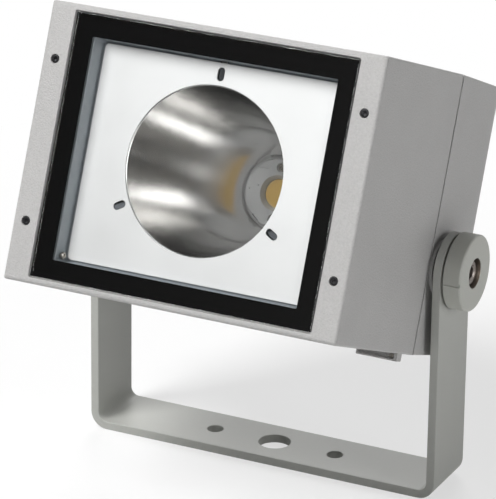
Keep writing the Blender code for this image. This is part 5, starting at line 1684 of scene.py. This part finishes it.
@dataclass
class Studio:
    """Camera, floor, dark curtain and lamps.

    Attributes:
        target: The point that the camera is turned about.
        azimuth: The camera's direction in degrees, as elevation and roll are.
        lens: The lens for a sensor 36 mm wide.
        ambient: Strength of the soft light from all round.
        aim: The point that every lamp faces, in metres.
    """

    target: Point = (-18.05, 26.87, 149.49)
    azimuth: float = 25.868
    elevation: float = 22.117
    roll: float = 0.725
    distance: float = 2571.3
    lens: float = 273.2
    ambient: float = 0.02
    aim: Point = (0, 0, 0.15)
    curtain_radius: float = 3200.0

    def build(self) -> None:
        """Makes everything that isn't the lamp."""
        self.camera()
        self.world()
        self.floor()
        self.curtain()
        wide = (1.1, 1.1)
        self.softbox("key", (-0.872, -1.396, 2.265), wide, 71)
        self.softbox("back", (-0.755, 2.073, 1.724), wide, 27)
        self.softbox("side", (2.1, -0.35, 0.75), wide, 12)
        # Only gloss shows this one: it draws the bright streaks in the bowl
        self.softbox("streak", (0.75, -1.25, 0.7), (0.95, 0.75), 15).visible_diffuse = False

    def shield(self, lamp: str, piece: str) -> None:
        """Keeps one lamp's light off one piece, as a flag on a stand does in a studio.

        Args:
            lamp: The lamp's name.
            piece: The piece's name.
        """
        spared = bpy.data.collections.new(f"{piece}_without_{lamp}")
        spared.objects.link(bpy.data.objects[piece])
        spared.collection_objects[0].light_linking.link_state = "EXCLUDE"
        bpy.data.objects[lamp].light_linking.receiver_collection = spared

    def camera(self) -> None:
        """The photograph's camera, turned about the target, with no shift."""
        data = bpy.data.cameras.new("camera")
        data.lens = self.lens
        data.sensor_width = 36
        data.clip_end = 100
        azimuth, elevation = math.radians(self.azimuth), math.radians(self.elevation)
        right = Vector((math.cos(azimuth), math.sin(azimuth), 0))
        level = Vector((math.sin(azimuth), -math.cos(azimuth), 0)) * math.cos(elevation)
        back = level + Vector((0, 0, math.sin(elevation)))
        turn = Matrix.Rotation(math.radians(self.roll), 3, back)
        axes = Matrix((turn @ right, turn @ back.cross(right), back)).transposed().to_4x4()
        axes.translation = (Vector(self.target) + back * self.distance) * MM
        obj = bpy.data.objects.new("camera", data)
        bpy.context.scene.collection.objects.link(obj)
        obj.matrix_world = axes
        bpy.context.scene.camera = obj

    def seen(self, tree: Tree) -> Socket:
        """Tells what is seen from what is only lit.

        Args:
            tree: The material's or world's nodes.

        Returns:
            1 for camera, glossy and transmission rays, 0 for the rest.
        """
        path = add_node(tree, "LightPath").node.outputs
        total = path["Is Camera Ray"]
        for kind in ("Is Glossy Ray", "Is Transmission Ray"):
            total = add_node(tree, "Math", {"operation": "ADD", "use_clamp": True}, {0: total, 1: path[kind]})
        return total

    def world(self) -> None:
        """White where it is seen, and an even soft light for the rest."""
        world = bpy.data.worlds.new("studio")
        bpy.context.scene.world = world
        tree = cleared(world)
        white = {"Color": (1, 1, 1, 1)}
        soft = add_node(tree, "Background", white | {"Strength": self.ambient})
        full = add_node(tree, "Background", white | {"Strength": 1.0})
        both = add_node(tree, "MixShader", links={0: self.seen(tree), 1: soft, 2: full})
        add_node(tree, "OutputWorld", links={"Surface": both})

    def floor(self) -> None:
        """A pale floor that keeps a soft shadow near the lamp and turns to plain white further out.

        What sees the floor sees it as mostly white even near the lamp, and paler than its bounce, as in a
        high-key studio.
        """
        radius = np.array([0.0, 300, 700, 1500, 4000, 9000])
        profile = np.stack([np.full(len(radius), -0.3), radius], -1)
        floor = turned(profile, Axis.UP, segments=96).make("floor", Place.ROOM)
        material = bpy.data.materials.new("matt_white_studio_floor")
        tree = cleared(material)
        place = add_node(tree, "TexCoord", out="Object")
        away = add_node(tree, "VectorMath", {"operation": "LENGTH"}, {0: place}, out=1)
        limits = {"interpolation_type": "SMOOTHSTEP", "From Min": 0.2, "From Max": 0.7, "To Min": 0.6}
        far = add_node(tree, "MapRange", limits, {"Value": away})
        seen = self.seen(tree)
        factor = add_node(tree, "Math", {"operation": "MULTIPLY"}, {0: far, 1: seen})
        pale = add_node(tree, "MapRange", {"To Min": 0.8, "To Max": 0.96}, {"Value": seen})
        matt = add_node(tree, "BsdfDiffuse", links={"Color": pale})
        white = add_node(tree, "Emission", {"Strength": 1.0})
        both = add_node(tree, "MixShader", links={0: factor, 1: matt, 2: white})
        add_node(tree, "OutputMaterial", links={"Surface": both})
        floor.data.materials.append(material)

    def curtain(self) -> None:
        """A dark curtain in front of the lamp, which only gloss and glass show: it keeps the window black.

        It glows with emitted light: darkest at the left, where the flat glass mirrors it, and greyer at the
        right, as painted light of a curtain lit from the right.

        From the front, at the angle a about the lamp, a point lies at r (sin a, -cos a). A skirt runs out
        along the floor from r 0.45 to 3.2 m. From there the curtain rises on a sphere of that radius to 68
        degrees.
        """
        rise = np.radians(np.linspace(0, 68, 18))
        radius = np.concatenate([[450], self.curtain_radius * np.cos(rise)])[:, None]
        height = np.concatenate([[2], 2 + self.curtain_radius * np.sin(rise)])[:, None]
        share = np.linspace(0, 1, 31)[None, :]
        first = np.concatenate([[-50, -50], np.full(17, -62)])[:, None]
        last = np.concatenate([[26, 26], np.full(17, 58)])[:, None]
        angle = np.radians(first + (last - first) * share)
        points = np.stack(np.broadcast_arrays(radius * np.sin(angle), -radius * np.cos(angle), height), -1)
        curtain = Surface().grid(points, wrap=False).make("curtain", Place.ROOM)
        material = bpy.data.materials.new("dark_grey_curtain")
        tree = cleared(material)
        across = add_node(tree, "SeparateXYZ", links={0: add_node(tree, "TexCoord", out="Object")}, out="X")
        # Painted light: the curtain's glow rises to the right, as if a lamp lit it from that side
        limits = {"From Min": -1.1, "From Max": 0.4, "To Min": 0.06, "To Max": 0.42}
        level = add_node(tree, "MapRange", limits, {"Value": across})
        dark = add_node(tree, "Emission", {"Color": (1, 0.98, 0.94, 1)}, {"Strength": level})
        add_node(tree, "OutputMaterial", links={"Surface": dark})
        curtain.data.materials.append(material)
        curtain.visible_camera = False
        curtain.visible_diffuse = False
        curtain.visible_shadow = False

    def softbox(self, name: str, place: Point, size: tuple[float, float], power: float) -> Object:
        """A rectangular lamp that faces the middle of the floodlight.

        Args:
            name: Its name.
            place: Its middle, in metres.
            size: Its width and height in metres.
            power: Its power in watts.

        Returns:
            The lamp.
        """
        data = bpy.data.lights.new(name, "AREA")
        data.shape = "RECTANGLE"
        data.size, data.size_y = size
        data.energy = power
        lamp = bpy.data.objects.new(name, data)
        lamp.location = place
        lamp.rotation_euler = (Vector(self.aim) - Vector(place)).to_track_quat("-Z", "Y").to_euler()
        bpy.context.scene.collection.objects.link(lamp)
        lamp.visible_camera = False
        return lamp


def main() -> None:
    logging.basicConfig(level=logging.INFO, format="%(message)s", stream=sys.stdout)
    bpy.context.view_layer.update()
    bpy.context.scene.view_settings.view_transform = "Standard"
    shape, studio = HeadShape(), Studio()
    for part in (
        studio,
        Yoke(),
        Pivots(),
        FrontCasting(shape),
        RearCasting(shape),
        Window(),
        Optic(),
        LightSource(),
        CableEntry(shape),
        Wiring(),
    ):
        part.build()
        log.info("%s is done", type(part).__name__)
    studio.shield("key", "bowl")
    bpy.context.view_layer.update()


if __name__ == "__main__":
    main()
